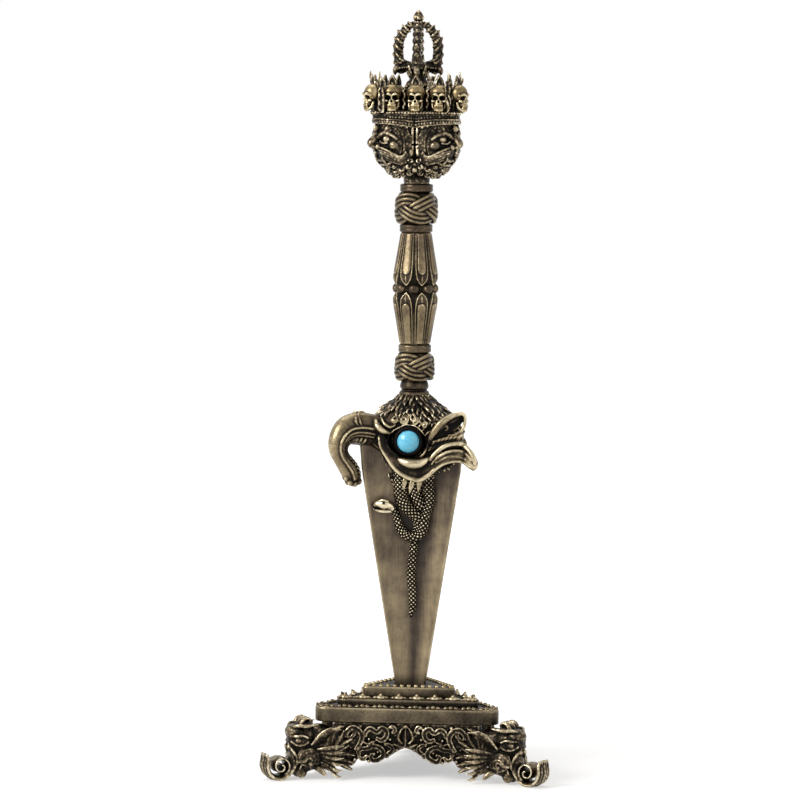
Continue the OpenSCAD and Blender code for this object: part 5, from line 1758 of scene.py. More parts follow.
@dataclass
class SkullCrown:
    """A diadem with twelve skulls, a jewel leaf over each and dark flames between. In millimetres."""

    skull_z: float = 216.7
    corner_r: float = 17.6
    steps: int = 4

    def skull(self) -> bpy.types.Mesh:
        """Models one skull, facing -y, with its chin at the origin's height."""
        clay = Clay()
        clay.ball((0, 0.4, 5.7), (2.75, 2.55, 2.6), 28)
        clay.ball((0, -0.5, 4.4), (2.2, 1.9, 1.6), 24)
        clay.ball((0, -1, 2.5), (1.45, 1.35, 1.25), 20)
        clay.bar([(-2.2, -0.9, 4.9, 0.3, 0.4), (-1.1, -2.25, 5.35, 0.4, 0.45), (0, -2.2, 5, 0.3, 0.4),
            (1.1, -2.25, 5.35, 0.4, 0.45), (2.2, -0.9, 4.9, 0.3, 0.4)], FRONT, 4, 10)
        for side in (-1, 1):
            clay.ball((side * 1.75, -1.35, 3.35), (0.62, 0.7, 0.5), 14)
            clay.bar([(side * 1.9, -0.2, 3.0, 0.4, 0.4), (side * 1.7, -0.7, 1.4, 0.45, 0.45),
                (side * 0.8, -1.7, 0.5, 0.45, 0.45)], (side, 0, 0), 4, 10)
        clay.ball((0, -1.5, 0.65), (1.15, 0.8, 0.65), 16)
        for k in range(6):
            x = (k - 2.5) * 0.46
            clay.ball((x, -2.25 + 0.22 * abs(x), 1.98), (0.24, 0.26, 0.36), 8)
            clay.ball((x, -2.1 + 0.22 * abs(x), 1.3), (0.22, 0.24, 0.3), 8)
        piece = clay.cast("skull", 0.17)
        work = Skin(piece)
        x, y, z = work.at.T
        for cx, cz, rx, rz, deep in ((-1, 4.15, 0.82, 0.66, 1.4), (1, 4.15, 0.82, 0.66, 1.4),
                (0, 3.2, 0.36, 0.42, 0.8)):
            off = np.sqrt(((x - cx) / rx) ** 2 + ((z - cz) / rz) ** 2)
            y = y + deep * np.clip(1.15 - off, 0, 1) ** 0.7 * (y < -0.4)
        work.at = np.column_stack([x, y, z])
        work.write()
        mesh = piece.data
        bpy.data.objects.remove(piece)
        mesh.transform(Matrix.Scale(1.08 / MM, 4))
        return mesh

    def leaf(self, clay: Clay, x: float, y: float, z: float, height: float, wide: float) -> None:
        """Adds a pointed leaf with a second one engraved inside it.

        Args:
            clay: The pile.
            x: To the side.
            y: Towards the back.
            z: Its foot.
            height: Its height.
            wide: Its half width.
        """
        clay.bar([(x, y, z, wide * 0.7, 0.5), (x, y - 0.1, z + 0.3 * height, wide, 0.6),
            (x, y, z + 0.62 * height, wide * 0.75, 0.5), (x, y + 0.1, z + 0.86 * height, wide * 0.32, 0.35),
            (x, y + 0.1, z + height, 0.1, 0.12)], FRONT, 4, 12)
        for s in (-1, 1):
            clay.bar([(x + s * wide * 0.2, y - 0.55, z + 0.1 * height, 0.17, 0.22),
                (x + s * wide * 0.68, y - 0.62, z + 0.34 * height, 0.2, 0.25), (x + s * wide * 0.4, y - 0.5,
                z + 0.62 * height, 0.17, 0.22), (x, y - 0.3, z + 0.86 * height, 0.12, 0.15)], FRONT, 4, 8)
        clay.ball((x, y - 0.6, z + 0.34 * height), (0.35, 0.3, 0.5), 10)

    def places(self) -> list[tuple[Matrix, bool]]:
        """Where the skulls stand, and which of them are at corners."""
        out = []
        for i in range(3):
            a, b = polar(self.corner_r, CORNERS[i]), polar(self.corner_r, CORNERS[(i + 1) % 3])
            for k in range(self.steps):
                facing = CORNERS[i] if k == 0 else CORNERS[i] + 60
                at = a + (b - a) * k / self.steps
                m = Matrix.Translation(Vector(at) + Vector((0, 0, self.skull_z))) @ turn(facing + 90)
                out.append((m @ Matrix.Translation((0, 1.0 if k == 0 else 0.0, 0)), k == 0))
        return out

    def hem(self, degrees: Array, up: float) -> Array:
        """Height of a line of the diadem: its lower part droops from each brow to the seams."""
        off = np.abs(np.mod(degrees - 30, 120) - 60) / 60
        return 213.1 + up - 1.3 * off**2 * max(1 - up / 3.7, 0)

    def blend(self, a: float, rc: float, degrees: Array, up: float) -> Array:
        """Radius of the diadem: round lobes at its foot turn into flat sides under the skulls."""
        share = min(max(up / 3.7, 0), 1)
        return (1 - share) * lobed(a, rc, degrees) + share * three_sided(a, rc, degrees)

    def build(self, shop: Workshop) -> None:
        """Casts the diadem and its flames, and sets the skulls on it."""
        clay = Clay()
        angles = np.arange(0, 360, 4)
        rings = []
        for h, a, rc in ((0, 9.6, 14.6), (0.9, 10.2, 15.6), (2, 9.9, 15.4), (2.9, 10.3, 16.6),
                (3.7, 10.5, 17.6)):
            r = self.blend(a, rc, angles, h)
            rings.append(ring_at(r, angles, self.hem(angles, h)))
        rings.append(ring_at(three_sided(10.5, 17.8, angles), angles, 217.0))
        rings.append(ring_at(three_sided(9.0, 15.0, angles), angles, 217.1))
        clay.add(skin(np.array(rings)))
        fine = np.arange(0, 360.5, 0.5)
        for h, a, rc, pitch, size in ((0.5, 10, 15.3, 1, 0.42), (2, 10.1, 15.7, 0.95, 0.4),
                (3.3, 10.6, 17.4, 1, 0.42)):
            r = self.blend(a, rc, fine, h)
            line = ring_at(r, fine, self.hem(fine, h))
            length = np.concatenate([[0], np.cumsum(np.linalg.norm(np.diff(line, axis=0), axis=1))])
            for d in np.arange(0, length[-1], pitch):
                clay.ball([float(np.interp(d, length, line[:, k])) for k in range(3)], size, 8)
        for h, a, rc in ((-0.1, 9.9, 15), (1.25, 10.2, 15.8), (2.7, 10.3, 16.6)):
            line = ring_at(self.blend(a, rc, fine[::4], h), fine[::4], self.hem(fine[::4], h))
            clay.bar(np.insert(line, [3, 3], 0.26, axis=1), UP, 0, 8)
        stand = Clay()
        self.leaf(stand, 0, 1.2, 7.4, 4.9, 1.75)
        stand.bar([(0, 1.6, -0.4, 1.7, 0.8), (0, 1.7, 4, 1.9, 0.8), (0, 1.6, 8.4, 1.2, 0.6)], FRONT, 3, 12)
        between = Clay()
        between.bar([(3.8, 1.9, -0.4, 1.5, 0.6), (3.8, 2, 3.6, 1.6, 0.6), (3.8, 2, 6.8, 1, 0.5),
            (3.8, 2, 8.2, 0.3, 0.3)], FRONT, 4, 12)
        for k in range(5):
            between.bar([(3.8 + 0.5 * (-1) ** k, 1.2, 0.4 + 1.3 * k, 0.3, 0.3),
                (3.8 - 0.3 * (-1) ** k, 0.9, 1.4 + 1.3 * k, 0.45, 0.4),
                (3.8 + 0.6 * (-1) ** k, 1.1, 2.5 + 1.3 * k, 0.15, 0.2)], FRONT, 3, 8)
        flame = Clay()
        rng = random.Random(23)
        for side in (-1, 1):
            flame.bar([(side * 2.6, 2.4, 0.0, 1.1, 0.7), (side * 2.9, 2.7, 5.0, 1.5, 0.8),
                (side * 3.1, 2.8, 8.6, 1.4, 0.7), (side * 3.2, 2.8, 10.2, 0.8, 0.5)], FRONT, 4, 14)
            for k in range(13):
                x, z = side * rng.uniform(1.9, 4.4), 1.0 + 0.82 * k
                lean = rng.uniform(-0.9, 0.9)
                flame.bar([(x, 1.9, z - 0.8, 0.2, 0.3), (x + 0.4 * lean, 1.6, z + 0.5, 0.34, 0.5),
                    (x + lean, 1.7, z + 1.6, 0.26, 0.4), (x + 0.6 * lean, 1.9, z + 2.5, 0.1, 0.15)], FRONT,
                    3, 7)
        flame_mesh = flame.mesh()
        leaf_mesh, between_mesh = stand.mesh(), between.mesh()
        skulls = Clay()
        one = self.skull()
        for matrix, corner in self.places():
            clay.add(leaf_mesh, matrix)
            clay.add(between_mesh, matrix)
            skulls.add(one, matrix)
            if corner:
                clay.add(flame_mesh, matrix)
        band = clay.cast("diadem_cast", 0.25)
        worked = Skin(band)
        worked.weather(4, 30, (3.6, 0.6))
        back = np.clip((217.5 - worked.at[:, 2]) / 0.6, 0, 1)
        worked.wear_and_light = worked.wear_and_light - 0.06 * (1 - back)
        worked.write_wear_and_light()
        shop.hand_over(band, shop.dense, "skull_crown")
        row = as_piece("crown_skulls_cast", skulls.bm)
        work = Skin(row)
        work.weather(6, 60, (2.6, 0.5))
        deep = np.clip((0.5 - work.wear_and_light) / 0.3, 0, 1)
        work.wear_and_light = work.wear_and_light + 0.08 - 0.16 * deep
        work.write_wear_and_light()
        shop.hand_over(row, shop.gilt)


@dataclass
class HalfVajra:
    """The half vajra: stem, beaded centre prong with a bud, four flaming prongs. In millimetres."""

    foot: float = 216.15
    cage: float = 229.64
    top: float = 249.94

    def core(self, shop: Workshop) -> None:
        """Turns and chases the stem, the centre prong and the bud."""
        clay = Clay()
        f, c = self.foot, self.cage
        profile = [(4.4, f), (4.8, f + 0.8), (4.2, f + 1.6), (3.0, f + 2.2), (2.6, f + 4.0), (2.6, f + 7.6),
            (3.6, f + 8.6), (3.8, f + 9.6), (2.7, f + 11.2), (2.6, c), (3.4, c + 1.2), (2.6, c + 2.6),
            (1.2, c + 4.0), (0.9, c + 5.0)]
        clay.turned([tuple(p) for p in spline(profile, 3)], 40)
        clay.turned([(0.85, c + 4.0), (0.85, self.top - 4.0)], 20)
        for k, z in enumerate(np.arange(c + 5.6, self.top - 4.6, 1.55)):
            clay.ball((0, 0, z), (1.35, 1.35, 0.8) if k % 2 else (1.15, 1.15, 0.85), 16)
        clay.turned([(0.9, self.top - 5.0), (1.7, self.top - 4.4), (1.2, self.top - 3.9),
            (1.75, self.top - 3.0), (1.7, self.top - 2.2), (0.95, self.top - 0.9),
            (0.1, self.top - 0.05)], 24)
        for k in range(6):
            a = 60 * k + 30
            clay.bar([(*polar(1.55, a, self.top - 3.4), 0.3, 0.3),
                (*polar(1.65, a, self.top - 2.5), 0.42, 0.3), (*polar(0.9, a, self.top - 1.0), 0.15, 0.2)],
                polar(1, a), 3, 8)
        for k in range(8):
            a = 45 * k
            clay.bar([(*polar(2.6, a, c - 1.8), 0.5, 0.4), (*polar(3.3, a, c - 0.2), 0.85, 0.5),
                (*polar(3.7, a, c + 1.4), 0.5, 0.4), (*polar(3.9, a, c + 2.2), 0.15, 0.2)],
                polar(1, a), 3, 8)
            clay.bar([(*polar(3.0, a + 22, f + 6.6), 0.4, 0.4), (*polar(3.8, a + 22, f + 8.8), 0.9, 0.5),
                (*polar(3.2, a + 22, f + 10.6), 0.3, 0.3)], polar(1, a + 22), 3, 8)
        piece = clay.cast("vajra_core_cast", 0.19)
        Skin(piece).weather(5, 40, (2.8, 1))
        shop.hand_over(piece, shop.dense, "vajra_core")

    def prong(self) -> Clay:
        """Models one prong, standing out along x: a beast's mouth at the foot and flames along its back."""
        clay = Clay()
        c = self.cage
        path = [(2.2, 0, c + 2.0, 1.1, 1.5), (4.2, 0, c + 1.9, 1.3, 2.0), (5.9, 0, c + 2.9, 1.3, 1.9),
            (6.3, 0, c + 5.0, 1.15, 1.6), (6.4, 0, c + 8.0, 1.1, 1.6), (5.9, 0, c + 10.8, 1.05, 1.5),
            (4.5, 0, c + 13.2, 1.0, 1.4), (2.8, 0, c + 14.9, 0.9, 1.1), (1.2, 0, c + 15.6, 0.7, 0.9)]
        clay.bar(path, UP, 5, 14)
        for x, z, dx, dz, r in ((7, 3.2, 1.2, -0.6, 0.95), (7.2, 5.2, 1.2, 0.9, 1),
                (7.1, 7.6, 1.1, 1.5, 1.05), (6.8, 10, 1.2, 1.5, 1), (5.9, 12.2, 1, 1.6, 0.95),
                (4.5, 13.9, 0.9, 1.5, 0.85), (2.9, 15.2, 0.6, 1.3, 0.7)):
            clay.bar([(x - 0.7, 0, c + z - 0.6, r, r), (x + 0.3 * dx, 0, c + z + 0.2 * dz, r * 0.8,
                r * 0.9), (x + dx, 0, c + z + dz, 0.2, 0.25)], ASIDE, 3, 8)
            for side in (-1, 1):
                clay.bar([(x - 2.0, side * 0.7, c + z - 1.0, 0.32, 0.32),
                    (x - 1.0, side * 1.15, c + z - 0.2, 0.55, 0.45),
                    (x + 0.2, side * 0.8, c + z + 1.0, 0.2, 0.2)], (0, side, 0), 3, 7)
                clay.bar([(x - 2.4, side * 0.6, c + z + 0.2, 0.25, 0.3),
                    (x - 1.7, side * 0.9, c + z + 0.9, 0.42, 0.4),
                    (x - 0.9, side * 0.8, c + z + 1.2, 0.18, 0.2)], (0, side, 0), 3, 7)
        clay.bar([(5.4, 0, c + 1.6, 1.3, 1.2), (6.9, 0, c + 1.0, 1.2, 1.1), (7.5, 0, c - 0.2, 0.8, 0.8),
            (7.4, 0, c - 1.1, 0.2, 0.25)], ASIDE, 4, 10)
        clay.bar([(3.4, 0, c + 1.0, 0.8, 0.6), (5.2, 0, c + 0.0, 0.7, 0.5),
            (6.4, 0, c - 0.4, 0.3, 0.3)], ASIDE, 4, 9)
        for side in (-1, 1):
            clay.ball((5.6, side * 1.35, c + 2.9), 0.55, 12)
            clay.bar([(4.0, side * 1.2, c + 3.4, 0.3, 0.3), (5.4, side * 1.45, c + 3.9, 0.4, 0.35),
                (6.6, side * 1.1, c + 4.8, 0.2, 0.25)], (0, side, 0), 4, 8)
            for k in range(4):
                clay.ball((3.4 + 0.8 * k, side * 1.25, c + 1.5 - 0.1 * k), 0.34, 8)
        clay.ball((4.4, 0, c + 13.4), (1.1, 1.1, 0.9), 12)
        return clay

    def build(self, shop: Workshop) -> None:
        """Casts the core and the four prongs."""
        self.core(shop)
        whole = Clay()
        one = self.prong().mesh()
        for angle in (0, 90, 180, 270):
            whole.add(one, turn(angle))
        piece = whole.cast("vajra_prongs_cast", 0.2)
        Skin(piece).weather(4, 30, (3.6, 0.6))
        shop.hand_over(piece, shop.dense, "vajra_prongs")


# Stand: three tiers, three aprons and three corner beasts


def plate_radius(a: float, rho: float, degrees: Array) -> Array:
    """Radius of a plate with flat sides and round corners.

    Args:
        a: Distance from the axis to a side, in millimetres.
        rho: Radius of a corner.
        degrees: The directions asked for.

    Returns:
        The radius in each direction.
    """
    off = np.abs(np.mod(degrees - 30, 120) - 60)
    d = 2 * (a - rho)
    turn_off = math.degrees(math.atan2(rho * COS30, d + rho / 2))
    far = np.sqrt(np.maximum(rho**2 - (d * np.sin(np.radians(off))) ** 2, 0)) + d * np.cos(np.radians(off))
    return np.where(off < turn_off, far, a / np.cos(np.radians(60 - off)))


@dataclass
class Tier:
    """One plate of the stand, with the row of ornaments on its edge. Sizes in millimetres."""

    name: str
    a: float
    rho: float
    low: float
    thick: float
    pitch: float
    inset: float

    def plate(self) -> bpy.types.Mesh:
        """Models the plate, with soft edges and the opening for the blade."""
        blade = Blade()
        degrees = np.arange(0, 360, 1.5)
        unit = np.column_stack([np.cos(np.radians(degrees)), np.sin(np.radians(degrees))])
        top = self.low + self.thick
        rings = []
        levels = [(self.low, 0.35), (self.low + 0.12, 0.1), (self.low + 0.4, 0.0)]
        levels += [(z, 0.0) for z in np.linspace(self.low + 0.7, top - 0.8, 4)]
        levels += [(top - 0.45, 0.0), (top - 0.14, 0.1), (top, 0.42), (top, 1.2), (top, 2.4), (top, 3.6)]
        for z, inwards in levels:
            r = plate_radius(self.a - inwards, max(self.rho - inwards, 0.3), degrees)
            rings.append(np.column_stack([unit * r[:, None], np.full(len(r), z)]))
        hole = blade.section(float(blade.radius(top)) + 0.35)
        at = np.mod(np.degrees(np.arctan2(hole[:, 1], hole[:, 0])), 360)
        order = np.argsort(at)
        at, reach = at[order], np.linalg.norm(hole[order, :2], axis=1)
        r = np.interp(degrees, np.concatenate([at - 360, at, at + 360]), np.tile(reach, 3))
        for z in (top, self.low):
            rings.append(np.column_stack([unit * r[:, None], np.full(len(r), z)]))
        return skin(np.array(rings + rings[:1]))

    def edge(self) -> list[tuple[Vector, float]]:
        """Places along the edge, one pitch apart, with the direction each looks in."""
        out = []
        half = 2 * COS30 * (self.a - self.rho)
        n = max(int(2 * half / self.pitch), 1)
        for side in SIDES:
            along = Vector(polar(1, side + 90))
            for k in range(n + 1):
                out.append((Vector(polar(self.a - self.inset, side))
                    + along * (2 * half * k / n - half), side))
        for corner in CORNERS:
            out.append((Vector(polar(2 * (self.a - self.rho) + self.rho - self.inset, corner)), corner))
        return [(p + Vector((0, 0, self.low + self.thick)), d) for p, d in out]

    def ornament(self, clay: Clay) -> None:
        """Adds one ornament of the edge's row, looking along -y."""
        if self.name == "upper_tier":
            clay.ball((0, 0, 0.15), 0.72, 14)
        elif self.name == "middle_tier":
            clay.ball((0, 0, 0.35), (1.5, 1.15, 0.95), 16)
            clay.bar([(0, 0.3, 0.4, 0.9, 0.8), (0.2, -0.2, 1.1, 0.8, 0.7), (0.5, -0.5, 1.75, 0.35, 0.3),
                (0.6, -0.6, 1.95, 0.1, 0.1)], FRONT, 3, 10)
            for s in (-1, 1):
                clay.bar([(s * 1.2, 0, 0.2, 0.4, 0.5), (s * 2.0, 0, 0.35, 0.45, 0.45),
                    (s * 2.6, 0, 0.2, 0.2, 0.2)], UP, 3, 8)
        else:
            clay.ball((0, 0, 0.35), (0.78, 0.7, 0.72), 14)
            for s in (-1, 1):
                clay.bar([(s * 0.8, 0, 0.15, 0.25, 0.25), (s * 1.5, -0.1, 0.35, 0.62, 0.5),
                    (s * 2.2, -0.05, 0.25, 0.5, 0.35), (s * 2.5, 0, 0.1, 0.1, 0.1)], UP, 3, 8)
                clay.bar([(s * 0.9, -0.55, 0.3, 0.14, 0.16), (s * 1.5, -0.6, 0.75, 0.18, 0.2),
                    (s * 2.3, -0.4, 0.4, 0.12, 0.12)], UP, 3, 7)

    def build(self, shop: Workshop) -> None:
        """Makes the plate and the row on its edge."""
        clay = Clay()
        clay.add(self.plate())
        body = as_piece(f"{self.name}_plate", clay.bm)
        at = Skin(body)
        top = self.low + self.thick
        reach = plate_radius(self.a, self.rho, np.degrees(np.arctan2(at.at[:, 1], at.at[:, 0])))
        inwards = reach - np.hypot(at.at[:, 0], at.at[:, 1])
        up = at.at[:, 2]
        # The side: darker towards the bottom, with painted highlights along its upper and lower bevels.
        side = 0.6 - 0.1 * np.clip((top - 1.0 - up) / self.thick, 0, 1)
        side = side + 0.24 * bell(up - top + 0.2, 0.35)
        side += 0.12 * bell(up - self.low - 0.2, 0.3)
        if self.name == "middle_tier":
            side -= 0.12
        across = at.at[:, 0] / self.a
        # Painted light and shade: the side is lighter towards the left, where the key lamp stands, and
        # darker towards the right.
        side += 0.05 * bell(across + 0.5, 0.6) - 0.08 * np.clip(across, 0, 1)
        flat = 0.3 + 0.1 * bell(inwards - 0.4, 0.8)
        at.store("wear_and_light", np.clip(np.where(inwards < 0.3, side, flat), 0, 1))
        shop.hand_over(body, shop.satin, self.name, body=Body.STAND)
        one, row = Clay(), Clay()
        self.ornament(one)
        mesh = one.mesh()
        for at, looks in self.edge():
            row.add(mesh, Matrix.Translation(at) @ turn(looks + 90))
        if self.name != "upper_tier":
            fine = np.arange(0, 362, 2)
            for inwards, size in ((self.inset - 1.0, 0.16), (self.inset + 1.3, 0.2)):
                r = plate_radius(self.a - inwards, max(self.rho - inwards, 0.4), fine)
                line = ring_at(r, fine, top + 0.04)
                row.bar(np.insert(line, [3, 3], size, axis=1), UP, 0, 8)
        trim = as_piece(f"{self.name}_edge_row", row.bm)
        worked = Skin(trim)
        worked.weather(3, 20, (1.5, 0.5))
        worked.wear_and_light = worked.wear_and_light - 0.1
        worked.write_wear_and_light()
        finish = shop.gilt if self.name == "upper_tier" else shop.carved
        shop.hand_over(trim, finish, body=Body.STAND)


@dataclass
class Apron:
    """A side apron: cloud ribbons and leaves on dark ground, cut to a cusped arch. In millimetres."""

    face: float = 19.2
    top: float = 18.42
    low: tuple[Point, ...] = ((0, 10.4), (1.4, 9.9), (3.2, 9), (4.6, 7.9), (6.6, 7.2), (8.2, 6.3),
        (10.5, 5.6), (12.2, 6.2), (13.8, 5.6), (15.4, 6.6), (17.4, 4), (20, 4.6), (22, 5.4), (23.9, 5.6))

    def ribbon(self, clay: Clay, points: Sequence[Point], lift: float) -> None:
        """Lays a ribbon with raised rims, and its mirror image.

        Args:
            clay: The pile.
            points: Rows of x, z and half width, in the plane of the apron.
            lift: Lift off the ground.
        """
        path = spline(points, 5)
        edge = np.gradient(path[:, :2], axis=0)
        edge /= np.linalg.norm(edge, axis=1, keepdims=True)
        across = np.column_stack([-edge[:, 1], edge[:, 0]])
        for s in (-1, 1):
            rows = [(s * x, -self.face + 0.35 - lift, z, w, 0.6) for x, z, w in path]
            clay.bar(rows, FRONT, 0, 10)
            for side in (-1, 1):
                rim = path[:, :2] + across * (side * 0.72 * path[:, 2])[:, None]
                y, half = -self.face - 0.2 - lift, 0.17 + 0.08 * path[:, 2]
                clay.bar([(s * x, y, z, w, 0.3) for (x, z), w in zip(rim, half)], FRONT, 0, 7)

    def leaf(self, clay: Clay, points: Sequence[Point], lift: float) -> None:
        """Lays a pointed leaf with a raised middle rib, and its mirror image."""
        path = spline(points, 4)
        for s in (-1, 1):
            clay.bar([(s * x, -self.face + 0.3 - lift, z, w, 0.7) for x, z, w in path], FRONT, 0, 10)
            clay.bar([(s * x, -self.face - 0.35 - lift, z, 0.14 + 0.12 * w, 0.3) for x, z,
                w in path], FRONT, 0, 7)

    def model(self) -> Clay:
        """Models one apron, seen from the front."""
        clay = Clay()
        low = spline(self.low, 3)
        for s in (-1, 1):
            rings = []
            for x, z in low:
                rings.append([(s * x, -16.3, self.top), (s * x, -18.3, self.top), (s * x, -18.3, z + 0.3),
                    (s * x, -17.9, z), (s * x, -16.6, z), (s * x, -16.3, z + 0.3)])
            clay.add(skin(np.array(rings if s > 0 else rings[::-1])))
        ribbons = ((((19.2, 13.6, 0.5), (19.2, 15.4, 0.8), (17.3, 16.9, 0.95),
            (15.1, 15.9, 0.95), (14.2, 13.8, 0.9), (15.1, 11.4, 0.8), (16.6, 9.6, 0.3)), 0.2),
            (((18.4, 13.2, 0.35), (17.4, 14, 0.55), (16.6, 15, 0.45), (17.4, 15.5, 0.3)), 0.0),
            (((13, 14, 0.35), (12.9, 15.6, 0.75), (11.4, 16.7, 0.9), (9.3, 15.6, 0.8), (7.8, 16.9, 0.95),
            (6.3, 16, 0.95), (6.4, 14.1, 0.9), (7.8, 13, 0.85), (9.7, 13.7, 0.5)), 0.2),
            (((16, 8.4, 0.35), (14.4, 9.9, 0.7), (12.3, 10.2, 0.8), (10.3, 11, 0.85), (8, 10.2, 0.9),
            (7.2, 8.2, 0.95), (8.6, 6.7, 0.9), (10.5, 6.3, 0.85), (11.2, 7.8, 0.6), (9.9, 8.6, 0.3)), 0.1),
            (((12.4, 8, 0.35), (13.8, 6.6, 0.7), (15.2, 7.4, 0.5), (14.6, 8.6, 0.25)), 0.0),
            (((5.9, 9.2, 0.4), (4.9, 8.9, 0.8), (4.2, 10.4, 0.7), (5.6, 11.6, 0.6), (7, 11.6, 0.3)), 0.1),
            (((4.6, 15.4, 0.35), (3.4, 16.2, 0.6), (4.2, 17.5, 0.6), (5.4, 17, 0.3)), 0.0))
        for points, lift in ribbons:
            self.ribbon(clay, points, lift)
        leaves = ((((3.9, 12, 0.3), (2.6, 11.4, 0.7), (1.2, 10.9, 0.7), (0.2, 10.9, 0.4)), 0.2),
            (((1, 12, 0.3), (2.3, 13.6, 0.75), (1.9, 15.6, 0.6), (1, 17.2, 0.15)), 0.3),
            (((0, 11.4, 0.5), (0, 13.4, 0.8), (0, 15.4, 0.5), (0, 16.6, 0.15)), 0.5),
            (((13.6, 12.2, 0.2), (12.2, 11.7, 0.6), (10.6, 12.4, 0.5), (9.8, 12.6, 0.1)), 0.0),
            (((24.2, 10.2, 0.5), (23.4, 14.2, 1.3), (21.9, 16.6, 1), (20, 17.3, 0.2)), 0.3),
            (((23.8, 9.6, 0.5), (21.6, 12.6, 1.05), (20.6, 14.6, 0.7), (20.2, 16, 0.15)), 0.5),
            (((23.2, 8.8, 0.5), (20.6, 11.2, 1), (18.8, 12.4, 0.7), (17.2, 13.2, 0.15)), 0.4),
            (((24, 8.2, 0.5), (21.2, 9.3, 0.9), (19.2, 10.5, 0.6), (18.2, 11.2, 0.15)), 0.5),
            (((24.4, 7.4, 0.6), (21.6, 8, 1.05), (19, 8.2, 0.9), (16.4, 7.8, 0.15)), 0.6),
            (((24.4, 6, 0.6), (21.8, 6.1, 1), (19.2, 5.9, 0.9), (16.8, 5.4, 0.2)), 0.5),
            (((24.4, 5, 0.5), (22.2, 5.2, 0.9), (19.6, 4.2, 0.95), (17.2, 2.9, 0.35)), 0.4))
        for points, lift in leaves:
            self.leaf(clay, points, lift)
        for x, z, r in ((14.9, 17.2, 0.8), (5.1, 13.2, 0.6), (3.3, 14.6, 0.55),
                (12, 13.2, 0.5), (6, 7.6, 0.7), (3, 9.8, 0.7), (12, 5.9, 0.6), (16.6, 6.4, 0.6),
                (17.9, 10.2, 0.5), (9, 9, 0.5)):
            for s in (-1, 1):
                clay.ball((s * x, -18.6, z), (r, 0.9, r), 12)
        clay.ball((0, -19, 17.4), (0.8, 0.8, 0.8), 12)
        return clay

    def build(self, shop: Workshop) -> None:
        """Casts one apron, and places it on the three sides."""
        piece = self.model().cast("apron_cast", 0.27)
        Skin(piece).weather(3, 20, (3, 0.55))
        for side, node in zip(SIDES, ("apron_front", "apron_back_right", "apron_back_left")):
            copy = twin(node + "_cast", piece.data, turn(side + 90))
            shop.hand_over(copy, shop.dense, node, body=Body.STAND)
        bpy.data.objects.remove(piece)


